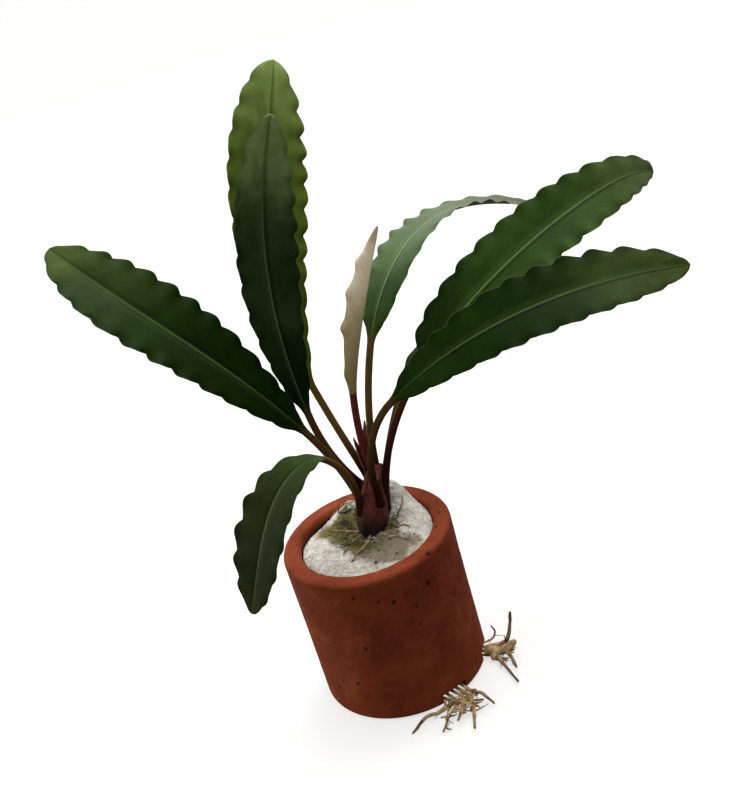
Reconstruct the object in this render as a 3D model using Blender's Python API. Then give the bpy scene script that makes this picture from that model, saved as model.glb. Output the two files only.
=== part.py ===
"""A young leafy plant in a small clay pot, with mineral wool packed round its roots.

The pot stands on its flat foot with its axis on Z and the centre of the foot at the origin.
Everything is in metres. The plant has a frame of its own, which leans in the pot: its origin is
where the rhizome leaves the wool, and heights up the rhizome are measured from there.
"""

from collections import namedtuple
from math import atan2, cos, exp, hypot, pi, radians, sin, sqrt, tan

import bmesh
import bpy
from mathutils import Matrix, Vector

for old in list(bpy.data.objects):
    bpy.data.objects.remove(old, do_unlink=True)

# ---------------------------------------------------------------- driving sizes
GAP = 0.0003  # between pieces that touch in the real thing

POT_RADIUS = 0.0225
POT_HEIGHT = 0.044
POT_WALL = 0.0047
POT_FLOOR = 0.005
POT_EDGE = 0.0008  # rounding of the rim and of the foot
POT_SIDES = 64

DRAIN_INSET = 0.0028  # from the bore's wall to the outer end of each drain slot
DRAIN_LENGTH = 0.0044  # along the radius
DRAIN_WIDTH = 0.0080
GROOVE_HEIGHT = 0.003
FRONT_DRAIN = radians(-64)
RIGHT_DRAIN = radians(-17)

WOOL_DROP = 0.0028  # from the rim to the wool where it is neither pulled up nor pressed down
WOOL_RINGS = 9
WOOL_SIDES = 40
TUNNEL_HEIGHT = 0.0110  # of the passages under the wool that lead the roots to the drains

PLANT_X = 0.0020
PLANT_Y = 0.0035
PLANT_DROP = 0.0015  # from the rim to where the rhizome leaves the wool
PLANT_LEAN = radians(17)
RHIZOME_RADIUS = 0.0029
RHIZOME_TOP_RADIUS = 0.0017
RHIZOME_TOP = 0.0142  # length above the wool
RHIZOME_BURIED = 0.0125  # length in the wool
RHIZOME_LUMP = 0.00012

STALK_RADIUS = 0.00095
BLADE_THICKNESS = 0.0005
BLADE_FOLD = radians(9)  # how far the two halves rise from the midrib
WAVE_LENGTH = 0.0068
WAVE_HEIGHT = 0.0008
STALK_CLEARANCE = 0.00045  # between a stalk's foot and the rhizome
STALK_STEPS = 9
BLADE_STEPS = 42

SHEATH_THICKNESS = 0.0005
ROOT_RADIUS = 0.00055
SURFACE_ROOT_RADIUS = 0.0006

# ---------------------------------------------------------------- materials
COLOURS = {
    "pot": ((0.30, 0.085, 0.035), 0.85),
    "rock_wool": ((0.62, 0.58, 0.50), 0.95),
    "rhizome": ((0.035, 0.018, 0.010), 0.6),
    "leaf": ((0.030, 0.075, 0.018), 0.4),
    "pale_leaf": ((0.110, 0.190, 0.040), 0.45),
    "new_leaf": ((0.62, 0.47, 0.30), 0.45),
    "sheath": ((0.13, 0.020, 0.016), 0.5),
    "root": ((0.34, 0.20, 0.10), 0.8),
}


def finish(obj, colour):
    """Give the object a material of its own in one of the plant's colours."""
    (red, green, blue), rough = COLOURS[colour]
    material = bpy.data.materials.new(obj.name + "_" + colour)
    material.use_nodes = True
    shader = material.node_tree.nodes["Principled BSDF"]
    shader.inputs["Base Color"].default_value = (red, green, blue, 1)
    shader.inputs["Roughness"].default_value = rough
    shader.inputs["Metallic"].default_value = 0.0
    obj.data.materials.clear()
    obj.data.materials.append(material)


# ---------------------------------------------------------------- collections
plant_collection = bpy.data.collections.new("potted_aquarium_plant")
cutter_collection = bpy.data.collections.new("cutters")
bpy.context.scene.collection.children.link(plant_collection)
bpy.context.scene.collection.children.link(cutter_collection)


def add_mesh(name, bm, colour):
    """Turn a bmesh into a named piece of the plant."""
    mesh = bpy.data.meshes.new(name)
    bm.to_mesh(mesh)
    bm.free()
    obj = bpy.data.objects.new(name, mesh)
    plant_collection.objects.link(obj)
    finish(obj, colour)
    return obj


def loft(rings):
    """Join rings of points into one closed skin. Each ring turns anticlockwise about the way along."""
    bm = bmesh.new()
    rows = [[bm.verts.new(point) for point in ring] for ring in rings]
    count = len(rows[0])
    for low, high in zip(rows, rows[1:]):
        for j in range(count):
            k = (j + 1) % count
            bm.faces.new((low[j], low[k], high[k], high[j]))
    bm.faces.new(rows[0][::-1])
    bm.faces.new(rows[-1])
    return bm


def leaf_skin(rings):
    """Join a leaf's rings of eight points. Its two faces share their diagonals, so they never cross."""
    bm = bmesh.new()
    rows = [[bm.verts.new(point) for point in ring] for ring in rings]
    for low, high in zip(rows, rows[1:]):
        for j in range(8):
            k = (j + 1) % 8
            if j in (0, 1, 4, 5):
                bm.faces.new((low[j], low[k], high[j]))
                bm.faces.new((low[k], high[k], high[j]))
            else:
                bm.faces.new((low[j], low[k], high[k]))
                bm.faces.new((low[j], high[k], high[j]))
    bm.faces.new(rows[0][::-1])
    bm.faces.new(rows[-1])
    return bm


def turned(profile, sides):
    """A solid turned about Z from (radius, height) points that start and end on the axis."""
    bm = bmesh.new()
    start = bm.verts.new((0, 0, profile[0][1]))
    end = bm.verts.new((0, 0, profile[-1][1]))
    rows = []
    for radius, height in profile[1:-1]:
        turns = [2 * pi * j / sides for j in range(sides)]
        rows.append([bm.verts.new((radius * cos(a), radius * sin(a), height)) for a in turns])
    for low, high in zip(rows, rows[1:]):
        for j in range(sides):
            k = (j + 1) % sides
            bm.faces.new((low[j], low[k], high[k], high[j]))
    for j in range(sides):
        k = (j + 1) % sides
        bm.faces.new((start, rows[0][k], rows[0][j]))
        bm.faces.new((end, rows[-1][j], rows[-1][k]))
    return bm


def add_cutter(name, bm, matrix):
    """A solid that is only there to be cut away."""
    mesh = bpy.data.meshes.new(name)
    bm.to_mesh(mesh)
    bm.free()
    mesh.transform(matrix)
    obj = bpy.data.objects.new(name, mesh)
    obj.hide_render = True
    obj.display_type = "WIRE"
    cutter_collection.objects.link(obj)
    return obj


def block(low, high):
    """A box between two corners."""
    bm = bmesh.new()
    size = Vector(high) - Vector(low)
    middle = (Vector(high) + Vector(low)) / 2
    bmesh.ops.create_cube(bm, size=1, matrix=Matrix.Translation(middle) @ Matrix.Diagonal((*size, 1)))
    return bm


def cut(obj, cutters):
    """Take the cutters out of the object, one after another."""
    for cutter in cutters:
        modifier = obj.modifiers.new(cutter.name, "BOOLEAN")
        modifier.operation = "DIFFERENCE"
        modifier.solver = "EXACT"
        modifier.object = cutter


# ---------------------------------------------------------------- clay pot
def quarter(centre_radius, centre_height, start):
    """Points of one rounded edge in the pot's profile, turning a quarter anticlockwise."""
    turns = [start + radians(30) * step for step in range(4)]
    return [(centre_radius + POT_EDGE * cos(a), centre_height + POT_EDGE * sin(a)) for a in turns]


bore = POT_RADIUS - POT_WALL
drain_outer = bore - DRAIN_INSET
drain_inner = drain_outer - DRAIN_LENGTH
pot_profile = [(0, 0), (POT_RADIUS * 0.5, 0)]
pot_profile += quarter(POT_RADIUS - POT_EDGE, POT_EDGE, -pi / 2)
pot_profile += quarter(POT_RADIUS - POT_EDGE, POT_HEIGHT - POT_EDGE, 0)
pot_profile += quarter(bore + POT_EDGE, POT_HEIGHT - POT_EDGE, pi / 2)
pot_profile += [(bore, POT_FLOOR), (bore * 0.5, POT_FLOOR), (0, POT_FLOOR)]
pot = add_mesh("clay_pot", turned(pot_profile, POT_SIDES), "pot")

drains = []
for name, side in (("front", FRONT_DRAIN), ("right", RIGHT_DRAIN)):
    for suffix, angle in (("", side), ("_opposite", side + pi)):
        turn = Matrix.Rotation(angle, 4, "Z")
        half = DRAIN_WIDTH / 2
        slot = block((drain_inner, -half, -0.002), (drain_outer, half, POT_FLOOR + 0.002))
        groove_low = (drain_inner + 0.0001, -half + 0.0001, -0.003)
        groove = block(groove_low, (POT_RADIUS * 1.5, half - 0.0001, GROOVE_HEIGHT))
        drains.append(add_cutter(name + "_drain" + suffix, slot, turn))
        drains.append(add_cutter(name + "_groove" + suffix, groove, turn))
cut(pot, drains)


# ---------------------------------------------------------------- rhizome
lean = Matrix.Rotation(PLANT_LEAN, 4, "Y")
plant = Matrix.Translation((PLANT_X, PLANT_Y, POT_HEIGHT - PLANT_DROP)) @ lean


def rhizome_radius(height):
    """Radius of the rhizome, which is thickest where it leaves the wool."""
    share = min(max(height / RHIZOME_TOP, 0), 1)
    return RHIZOME_RADIUS + (RHIZOME_TOP_RADIUS - RHIZOME_RADIUS) * share


def rhizome_ring(height, radius):
    """One section, with low rings of old leaf scars."""
    ring = []
    for j in range(12):
        a = 2 * pi * j / 12
        r = radius - RHIZOME_LUMP * (1 + sin(3 * a + height * 900))
        ring.append(plant @ Vector((r * cos(a), r * sin(a), height)))
    return ring


def shoulder(height, way, radius):
    """Rings that close one end of the rhizome with a rounded shoulder."""
    angles = [radians(20), radians(50), radians(75)]
    return [(height + way * 0.5 * radius * sin(a), radius * cos(a)) for a in angles]


bottom_radius = RHIZOME_RADIUS * 0.85
straight_top = RHIZOME_TOP - 0.5 * RHIZOME_TOP_RADIUS
straight_bottom = -RHIZOME_BURIED + 0.5 * bottom_radius
sections = shoulder(straight_bottom, -1, bottom_radius)[::-1]
for step in range(10):
    level = straight_bottom + (straight_top - straight_bottom) * step / 9
    sections.append((level, rhizome_radius(level) if level > 0 else RHIZOME_RADIUS))
sections += shoulder(straight_top, 1, rhizome_radius(straight_top))
add_mesh("rhizome", loft([rhizome_ring(h, r) for h, r in sections]), "rhizome")


# ---------------------------------------------------------------- leaves
# heading: the compass way of the leaf in the plant's frame, anticlockwise from +X, in degrees
# foot: height up the rhizome and the way round it where the stalk starts
# rise: steepness at the foot, neck, middle and tip, in degrees from level
# sweep: turn to the left of the heading at the same four places, in degrees
# roll: twist of the blade about its midrib at the neck, middle and tip, in degrees
# fullness: over 1.2, the blade is widest beyond its middle
Leaf = namedtuple("Leaf", "heading foot rise sweep stalk blade width fullness roll colour")
LEAVES = {
    "leaf_left": Leaf(
        heading=156, foot=(0.0092, 172), rise=(57, 52, 30, 20), sweep=(2, 20, 3, -25),
        stalk=0.0220, blade=0.0835, width=0.0220, fullness=1.38, roll=(40, 26, 36), colour="leaf",
    ),
    "leaf_upright": Leaf(
        heading=137, foot=(0.0112, 134), rise=(44, 70, 81, 98), sweep=(23, 13, 2, -8),
        stalk=0.0235, blade=0.0780, width=0.0190, fullness=1.36, roll=(26, 12, 28), colour="leaf",
    ),
    "leaf_tall": Leaf(
        heading=100, foot=(0.0130, 98), rise=(55, 70, 74, 54), sweep=(26, 26, 1, -16),
        stalk=0.0270, blade=0.0870, width=0.0220, fullness=1.49, roll=(2, -13, -2), colour="pale_leaf",
    ),
    "leaf_drooping": Leaf(
        heading=213, foot=(0.0055, 210), rise=(80, 33, -53, -77), sweep=(2, 4, 13, -2),
        stalk=0.0255, blade=0.0485, width=0.0170, fullness=1.36, roll=(0, -3, 2), colour="leaf",
    ),
    "leaf_arching": Leaf(
        heading=47, foot=(0.0135, 60), rise=(94, 78, 18, -11), sweep=(14, 4, -5, -41),
        stalk=0.0350, blade=0.0775, width=0.0170, fullness=1.26, roll=(-37, 22, -24), colour="leaf",
    ),
    "leaf_upper_right": Leaf(
        heading=45, foot=(0.0065, -24), rise=(101, 48, 43, -18), sweep=(4, -7, -26, 1),
        stalk=0.0380, blade=0.0925, width=0.0195, fullness=0.79, roll=(-19, -9, -78), colour="leaf",
    ),
    "leaf_lower_right": Leaf(
        heading=-8, foot=(0.0085, -64), rise=(114, 63, 29, 6), sweep=(8, -29, -1, 7),
        stalk=0.0335, blade=0.0820, width=0.0190, fullness=1.37, roll=(-59, -31, -43), colour="leaf",
    ),
    "leaf_hidden_right": Leaf(
        heading=55, foot=(0.0090, 22), rise=(84, 56, 18, 17), sweep=(4, 2, -18, -6),
        stalk=0.0230, blade=0.0600, width=0.0125, fullness=1.41, roll=(12, 18, 5), colour="leaf",
    ),
}
NEW_LEAF = Leaf(
    heading=95, foot=(RHIZOME_TOP, 90), rise=(79, 87, 98, 112), sweep=(20, 7, -4, -11),
    stalk=0.0235, blade=0.0470, width=0.0048, fullness=1.1, roll=(0, 0, 0), colour="new_leaf",
)


def along(neck, middle, tip, u):
    """A value that passes through three knots along the blade."""
    return neck * (1 - u) * (1 - 2 * u) + middle * 4 * u * (1 - u) + tip * u * (2 * u - 1)


def spine(leaf, start):
    """Stations up the stalk and the midrib: place, forward, left and up in the plant's frame, share of blade."""
    heading = radians(leaf.heading)
    out = Vector((cos(heading), sin(heading), 0))
    left = Vector((-sin(heading), cos(heading), 0))
    shares = [(step / STALK_STEPS, 0.0) for step in range(STALK_STEPS)]
    shares += [(1.0, step / BLADE_STEPS) for step in range(BLADE_STEPS + 1)]
    stations = []
    place = Vector(start)
    last = None
    for stalk_share, u in shares:
        if u > 0:
            rise = along(*leaf.rise[1:], u)
            sweep = along(*leaf.sweep[1:], u)
        else:
            rise = leaf.rise[0] + (leaf.rise[1] - leaf.rise[0]) * stalk_share
            sweep = leaf.sweep[0] + (leaf.sweep[1] - leaf.sweep[0]) * stalk_share
        rise, sweep = radians(rise), radians(sweep)
        forward = (cos(sweep) * (cos(rise) * out + sin(rise) * Vector((0, 0, 1))) + sin(sweep) * left).normalized()
        above = cos(rise) * Vector((0, 0, 1)) - sin(rise) * out
        above = (above - above.dot(forward) * forward).normalized()
        aside = above.cross(forward)
        if last is not None:
            length = leaf.blade / BLADE_STEPS if u > 0 else leaf.stalk / STALK_STEPS
            place = place + (last + forward).normalized() * length
        last = forward
        roll = radians(along(*leaf.roll, u))
        up = above * cos(roll) + aside * sin(roll)
        across = aside * cos(roll) - above * sin(roll)
        stations.append((place, forward, across, up, u))
    return stations


def half_width(leaf, u):
    """Half the blade's width a share u of the way from neck to tip."""
    return leaf.width / 2 * max(sin(pi * u**leaf.fullness), 0) ** 0.58


def leaf_ring(leaf, place, across, up, u):
    """One section of eight points: round in the stalk, thin with a keel under it in the blade."""
    core = STALK_RADIUS * (1 - 0.62 * u)
    half = sqrt(half_width(leaf, u) ** 2 + core**2)
    flat = min(u / 0.06, 1.0)
    thick = BLADE_THICKNESS / 2
    distance = u * leaf.blade
    ring = []
    for j in range(8):
        a = pi * j / 4
        round_x, round_y = core * cos(a), core * sin(a)
        side = 1 if j in (7, 0, 1) else -1
        if j in (0, 4):
            x, y = side * half, half * tan(BLADE_FOLD)
            y += WAVE_HEIGHT * (half * 2 / leaf.width) * sin(2 * pi * distance / WAVE_LENGTH + side)
        elif j in (2, 6):
            x, y = 0.0, (0.4 if j == 2 else -1.0) * core
        else:
            x, y = side * half / 2, half / 2 * tan(BLADE_FOLD) + (thick if j in (1, 3) else -thick)
        x, y = round_x + (x - round_x) * flat, round_y + (y - round_y) * flat
        ring.append(plant @ (place + across * x + up * y))
    return ring


def stalk_foot(leaf):
    """Where the middle of a stalk starts, just clear of the rhizome's side."""
    height, around = leaf.foot[0], radians(leaf.foot[1])
    reach = rhizome_radius(height) + STALK_CLEARANCE + STALK_RADIUS
    return (reach * cos(around), reach * sin(around), height)


for name, leaf in LEAVES.items():
    rings = [leaf_ring(leaf, p, side, up, u) for p, _, side, up, u in spine(leaf, stalk_foot(leaf))]
    add_mesh(name, leaf_skin(rings), leaf.colour)


# ---------------------------------------------------------------- new leaf, still rolled
def spear_ring(leaf, place, across, up, u):
    """A round stalk that swells into the rolled blade and closes at a fine point."""
    core = STALK_RADIUS * (1 - 0.7 * u)
    rolled = sqrt(half_width(leaf, u) ** 2 + core**2)
    points = [pi * j / 4 for j in range(8)]
    return [plant @ (place + across * rolled * cos(a) + up * 0.72 * rolled * sin(a)) for a in points]


spear = spine(NEW_LEAF, (0, 0, RHIZOME_TOP + GAP))[::2]
add_mesh("new_leaf", loft([spear_ring(NEW_LEAF, p, side, up, u) for p, _, side, up, u in spear]), "new_leaf")


# ---------------------------------------------------------------- red sheaths round the new leaf
Sheath = namedtuple("Sheath", "facing spread length")
SHEATHS = {
    "sheath_left": Sheath(205, 62, 0.0165),
    "sheath_right": Sheath(325, 50, 0.0125),
}


def sheath_ring(sheath, share):
    """A crescent hugging the new leaf's stalk, narrower towards the sheath's tip."""
    stations = spine(NEW_LEAF, (0, 0, RHIZOME_TOP + GAP))
    reach = share * sheath.length / (NEW_LEAF.stalk / STALK_STEPS)
    low = min(int(reach), STALK_STEPS - 1)
    first, second = stations[low], stations[low + 1]
    part = reach - low
    place = first[0].lerp(second[0], part)
    across = first[2].lerp(second[2], part).normalized()
    up = first[3].lerp(second[3], part).normalized()
    inner = STALK_RADIUS + GAP + 0.0002
    outer = inner + SHEATH_THICKNESS
    spread = radians(sheath.spread) * (1 - 0.75 * share**2)
    middle = radians(sheath.facing - NEW_LEAF.heading + 90)
    turns = [middle - spread + 2 * spread * k / 5 for k in range(6)]
    arc = [(outer, a) for a in turns] + [(inner, a) for a in turns[::-1]]
    return [plant @ (place + across * r * cos(a) + up * r * sin(a)) for r, a in arc]


for name, sheath in SHEATHS.items():
    add_mesh(name, loft([sheath_ring(sheath, step / 7) for step in range(8)]), "sheath")


# ---------------------------------------------------------------- mineral wool
# Lumps of the packed wool: middle x, middle y, width of the lump and its height
WOOL_LUMPS = (
    (0.0095, 0.0120, 0.0042, 0.0085),
    (-0.0022, 0.0138, 0.0034, 0.0040),
    (0.0135, 0.0010, 0.0045, 0.0028),
    (-0.0090, -0.0080, 0.0042, 0.0020),
    (0.0040, -0.0110, 0.0050, 0.0012),
    (-0.0140, 0.0040, 0.0045, -0.0026),
)
wool_radius = bore - GAP
wool_floor = POT_FLOOR + GAP


def wool_level(x, y):
    """Height of the wool's upper face."""
    lumps = [height * exp(-((x - cx) ** 2 + (y - cy) ** 2) / (2 * w * w)) for cx, cy, w, height in WOOL_LUMPS]
    return POT_HEIGHT - WOOL_DROP + sum(lumps)


bm = bmesh.new()
top = bm.verts.new((0, 0, wool_level(0, 0)))
base = bm.verts.new((0, 0, wool_floor))
turns = [2 * pi * j / WOOL_SIDES for j in range(WOOL_SIDES)]
radii = [wool_radius * (step / WOOL_RINGS) ** 0.85 for step in range(1, WOOL_RINGS + 1)]
rows = []
for r in radii:
    drop = 0.0012 * (r / wool_radius) ** 6
    rows.append([bm.verts.new((r * cos(a), r * sin(a), wool_level(r * cos(a), r * sin(a)) - drop)) for a in turns])
rows.append([bm.verts.new((wool_radius * cos(a), wool_radius * sin(a), wool_floor)) for a in turns])
for high, low in zip(rows, rows[1:]):
    for j in range(WOOL_SIDES):
        k = (j + 1) % WOOL_SIDES
        bm.faces.new((high[j], low[j], low[k], high[k]))
for j in range(WOOL_SIDES):
    k = (j + 1) % WOOL_SIDES
    bm.faces.new((top, rows[0][j], rows[0][k]))
    bm.faces.new((base, rows[-1][k], rows[-1][j]))
wool = add_mesh("rock_wool", bm, "rock_wool")

collar_radius = RHIZOME_RADIUS + GAP + 0.0001
flank = collar_radius + ROOT_RADIUS
well_radius = flank + ROOT_RADIUS + 3 * GAP
rhizome_foot = plant @ Vector((0, 0, -RHIZOME_BURIED))
root_start = rhizome_foot.z + 0.0012
well_top = root_start + ROOT_RADIUS + GAP
collar = bmesh.new()
collar_depth = RHIZOME_BURIED + 0.020
bmesh.ops.create_cone(
    collar, cap_ends=True, segments=24, radius1=collar_radius, radius2=collar_radius, depth=collar_depth
)
well = bmesh.new()
well_height = well_top - POT_FLOOR + 0.004
bmesh.ops.create_cone(
    well, cap_ends=True, segments=28, radius1=well_radius, radius2=well_radius, depth=well_height
)
well_middle = Vector((rhizome_foot.x, rhizome_foot.y, well_top - well_height / 2))
wool_cutters = [
    add_cutter("rhizome_collar", collar, plant @ Matrix.Translation((0, 0, collar_depth / 2 - RHIZOME_BURIED))),
    add_cutter("root_well", well, Matrix.Translation(well_middle)),
]
for name, angle in (("front", FRONT_DRAIN), ("right", RIGHT_DRAIN)):
    out = Vector((cos(angle), sin(angle), 0))
    aside = Vector((-sin(angle), cos(angle), 0))
    inner = Vector((rhizome_foot.x, rhizome_foot.y, 0))
    outer = out * drain_outer
    inner_side = aside * (well_radius - GAP)
    outer_side = aside * (DRAIN_WIDTH / 2)
    plan = [inner - inner_side, outer - outer_side, outer + outer_side, inner + inner_side]
    levels = (POT_FLOOR - 0.002, POT_FLOOR + TUNNEL_HEIGHT)
    tunnel = loft([[point + Vector((0, 0, level)) for point in plan] for level in levels])
    wool_cutters.append(add_cutter(name + "_tunnel", tunnel, Matrix.Identity(4)))
cut(wool, wool_cutters)


# ---------------------------------------------------------------- roots
def smooth_route(points, spacing):
    """Points about this far apart on a smooth curve through the route's own points."""
    points = [Vector(p) for p in points]
    padded = [2 * points[0] - points[1]] + points + [2 * points[-1] - points[-2]]
    route = []
    for a, b, c, d in zip(padded, padded[1:], padded[2:], padded[3:]):
        count = max(int((c - b).length / spacing + 0.5), 1)
        for step in range(count):
            t = step / count
            blend = (2 * b) + (c - a) * t + (2 * a - 5 * b + 4 * c - d) * t**2 + (3 * b - a - 3 * c + d) * t**3
            route.append(blend / 2)
    return route + [points[-1]]


def add_root(name, points, radius, tip_share, spacing=0.0022):
    """A tapering tube along a route."""
    route = smooth_route(points, spacing)
    data = bpy.data.curves.new(name, "CURVE")
    data.dimensions = "3D"
    data.bevel_depth = radius
    data.bevel_resolution = 1
    data.use_fill_caps = True
    spline = data.splines.new("POLY")
    spline.points.add(len(route) - 1)
    for index, place in enumerate(route):
        share = index / (len(route) - 1)
        spline.points[index].co = (*place, 1)
        spline.points[index].radius = 1 - (1 - tip_share) * share**3
    obj = bpy.data.objects.new(name, data)
    plant_collection.objects.link(obj)
    finish(obj, "root")
    return obj


# Each root runs down its own lane: from the rhizome's flank, down the well, through the wool's tunnel
# and the drain slot, and out along the groove under the foot. turn is the way round the rhizome where
# it starts. Outside the pot, each point is how far it lies beyond the wall, how far to the left of its
# lane, and how high it lifts off the floor.
DrainRoot = namedtuple("DrainRoot", "side turn lane outside")
LANE = (DRAIN_WIDTH - 2 * ROOT_RADIUS - 0.0007) / 4  # five roots side by side in the widest drain
DRAIN_ROOTS = {
    "front_root_1": DrainRoot(
        side=FRONT_DRAIN,
        turn=-130,
        lane=-2,
        outside=(
            (0.0013, 0.0004, 0.00045),
            (0.0017, -0.0043, 0.00065),
            (0.0009, -0.0079, 0.00105),
            (0.0020, -0.0135, 0.00025),
        ),
    ),
    "front_root_2": DrainRoot(
        side=FRONT_DRAIN,
        turn=-107,
        lane=-1,
        outside=((0.0026, 0.0000, 0.00045), (0.0049, -0.0038, 0.00165), (0.0079, -0.0095, 0.00035)),
    ),
    "front_root_3": DrainRoot(
        side=FRONT_DRAIN,
        turn=-85,
        lane=0,
        outside=((0.0027, 0.0002, 0.00085), (0.0058, -0.0022, 0.00225), (0.0082, -0.0063, 0.00065)),
    ),
    "front_root_4": DrainRoot(
        side=FRONT_DRAIN,
        turn=-57,
        lane=1,
        outside=((0.0030, 0.0000, 0.00065), (0.0076, -0.0020, 0.00045), (0.0134, -0.0066, 0.00025)),
    ),
    "front_root_5": DrainRoot(
        side=FRONT_DRAIN,
        turn=-38,
        lane=2,
        outside=((0.0031, 0.0002, 0.00065), (0.0064, 0.0006, 0.00165), (0.0108, 0.0009, 0.00035)),
    ),
    "right_root_1": DrainRoot(
        side=RIGHT_DRAIN,
        turn=-18,
        lane=-1.5,
        outside=((0.0023, -0.0010, 0.00065), (0.0056, -0.0054, 0.00045), (0.0093, -0.0122, 0.00035)),
    ),
    "right_root_2": DrainRoot(
        side=RIGHT_DRAIN,
        turn=0,
        lane=-0.5,
        outside=((0.0035, -0.0009, 0.00105), (0.0066, -0.0033, 0.00145), (0.0087, -0.0081, 0.00035)),
    ),
    "right_root_3": DrainRoot(
        side=RIGHT_DRAIN,
        turn=27,
        lane=0.5,
        outside=((0.0040, -0.0006, 0.00145), (0.0070, -0.0009, 0.00385), (0.0091, -0.0001, 0.01145)),
    ),
    "right_root_4": DrainRoot(
        side=RIGHT_DRAIN,
        turn=71,
        lane=1.5,
        outside=((0.0017, 0.0009, 0.00085), (0.0030, 0.0013, 0.00285), (0.0024, 0.0009, 0.00565)),
    ),
}
lane_level = ROOT_RADIUS + GAP + 0.0002
for name, root in DRAIN_ROOTS.items():
    out = Vector((cos(root.side), sin(root.side), 0))
    aside = Vector((-sin(root.side), cos(root.side), 0))
    around = Vector((cos(radians(root.turn)), sin(radians(root.turn)), 0))
    lane = aside * root.lane * LANE
    well_axis = Vector((rhizome_foot.x, rhizome_foot.y, 0))
    hang = well_axis + around * (flank + 0.0002)
    over = out * (drain_inner + 0.0012) + lane
    route = [
        hang + Vector((0, 0, root_start)),
        hang + Vector((0, 0, POT_FLOOR + TUNNEL_HEIGHT + 0.0050)),
        hang + Vector((0, 0, POT_FLOOR + TUNNEL_HEIGHT + 0.0015)),
        hang + (over - hang).normalized() * 0.0036 + Vector((0, 0, POT_FLOOR + 0.0060)),
        over + Vector((0, 0, POT_FLOOR + 0.0012)),
        out * (drain_outer - 0.0012) + lane + Vector((0, 0, POT_FLOOR - 0.0022)),
        out * (drain_outer + 0.0020) + lane + Vector((0, 0, lane_level + 0.0003)),
        out * (POT_RADIUS - 0.0020) + lane + Vector((0, 0, lane_level)),
    ]
    for beyond, left, lift in root.outside:
        route.append(out * (POT_RADIUS + beyond) + lane + aside * left + Vector((0, 0, ROOT_RADIUS + lift)))
    add_root(name, route, ROOT_RADIUS, 0.55)

# Roots that creep over the wool from the rhizome: the way they leave, how far they reach, how they curl
SurfaceRoot = namedtuple("SurfaceRoot", "turn reach curl")
SURFACE_ROOTS = {
    "surface_root_1": SurfaceRoot(-146, 0.0105, 14),
    "surface_root_2": SurfaceRoot(-108, 0.0120, -12),
    "surface_root_3": SurfaceRoot(-66, 0.0095, 12),
    "surface_root_4": SurfaceRoot(-24, 0.0075, -16),
    "surface_root_5": SurfaceRoot(168, 0.0080, -18),
}
for name, root in SURFACE_ROOTS.items():
    points = []
    for step in range(6):
        share = step / 5
        a = radians(root.turn + root.curl * share)
        r = RHIZOME_RADIUS + 0.0009 + SURFACE_ROOT_RADIUS + root.reach * share
        x, y = PLANT_X + r * cos(a), PLANT_Y + r * sin(a)
        clear = SURFACE_ROOT_RADIUS + GAP + 0.00025
        points.append((x, y, wool_level(x, y) - 0.0012 * (hypot(x, y) / wool_radius) ** 6 + clear))
    add_root(name, points, SURFACE_ROOT_RADIUS, 0.6, 0.0016)
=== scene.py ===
# %% [markdown]
# # A young water plant in a clay pot
#
# The real object is a small fired-clay pot packed with mineral wool, with a rosette of wavy leaves
# growing out of a creeping stem. The solid model already gives every piece its place and size. This
# file gives each piece its look, one step at a time, and all of it is in metres with +Z up.

# %% Load the solid model
from math import cos, pi, radians, sin, tan

import bmesh
import bpy
import numpy as np
from mathutils import Matrix, Vector


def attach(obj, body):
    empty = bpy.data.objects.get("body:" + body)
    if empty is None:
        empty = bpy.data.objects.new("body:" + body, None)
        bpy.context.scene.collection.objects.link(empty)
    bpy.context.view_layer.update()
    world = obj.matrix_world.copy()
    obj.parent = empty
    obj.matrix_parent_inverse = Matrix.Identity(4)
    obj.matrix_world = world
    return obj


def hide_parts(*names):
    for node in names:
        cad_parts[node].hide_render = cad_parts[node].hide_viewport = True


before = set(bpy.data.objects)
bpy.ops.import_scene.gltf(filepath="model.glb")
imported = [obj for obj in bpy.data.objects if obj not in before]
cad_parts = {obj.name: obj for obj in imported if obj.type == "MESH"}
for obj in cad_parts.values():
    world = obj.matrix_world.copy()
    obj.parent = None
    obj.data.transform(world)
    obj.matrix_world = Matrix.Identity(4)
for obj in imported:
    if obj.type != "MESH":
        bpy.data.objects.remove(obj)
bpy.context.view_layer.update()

print(len(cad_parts), "solid pieces loaded")

# %% [markdown]
# ## Light, floor and camera
#
# Leaves and raw clay are best judged in soft light that comes mostly from above and behind, because
# it draws the wavy edges with a bright rim and leaves the pot's front in shade. A sky that fades from
# a bright back to a dim front gives that with no hard shadow. The floor is pale, and lights nothing.

# %% Soft studio light
world = bpy.data.worlds.new("soft_studio")
bpy.context.scene.world = world
world.use_nodes = True
sky = world.node_tree
sky_way = sky.nodes.new("ShaderNodeTexCoord")
toward_light = sky.nodes.new("ShaderNodeVectorMath")
toward_light.operation = "DOT_PRODUCT"
toward_light.inputs[1].default_value = (-0.10, 0.52, 0.85)
fade = sky.nodes.new("ShaderNodeMapRange")
fade.interpolation_type = "SMOOTHSTEP"
for socket, value in (("From Min", -0.45), ("From Max", 0.95), ("To Min", 0.13), ("To Max", 1.15)):
    fade.inputs[socket].default_value = value
sky.links.new(sky_way.outputs["Generated"], toward_light.inputs[0])
sky.links.new(toward_light.outputs["Value"], fade.inputs["Value"])
sky.links.new(fade.outputs["Result"], sky.nodes["Background"].inputs["Strength"])
sky.nodes["Background"].inputs["Color"].default_value = (1.0, 0.985, 0.96, 1)


def soft_box(name, place, size, power, target=(0.01, 0.0, 0.06)):
    """A square studio light that faces the plant."""
    lamp = bpy.data.lights.new(name, "AREA")
    lamp.size, lamp.energy = size, power
    holder = bpy.data.objects.new(name, lamp)
    bpy.context.scene.collection.objects.link(holder)
    holder.location = place
    holder.rotation_euler = (Vector(target) - Vector(place)).to_track_quat("-Z", "Y").to_euler()
    return holder


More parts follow.
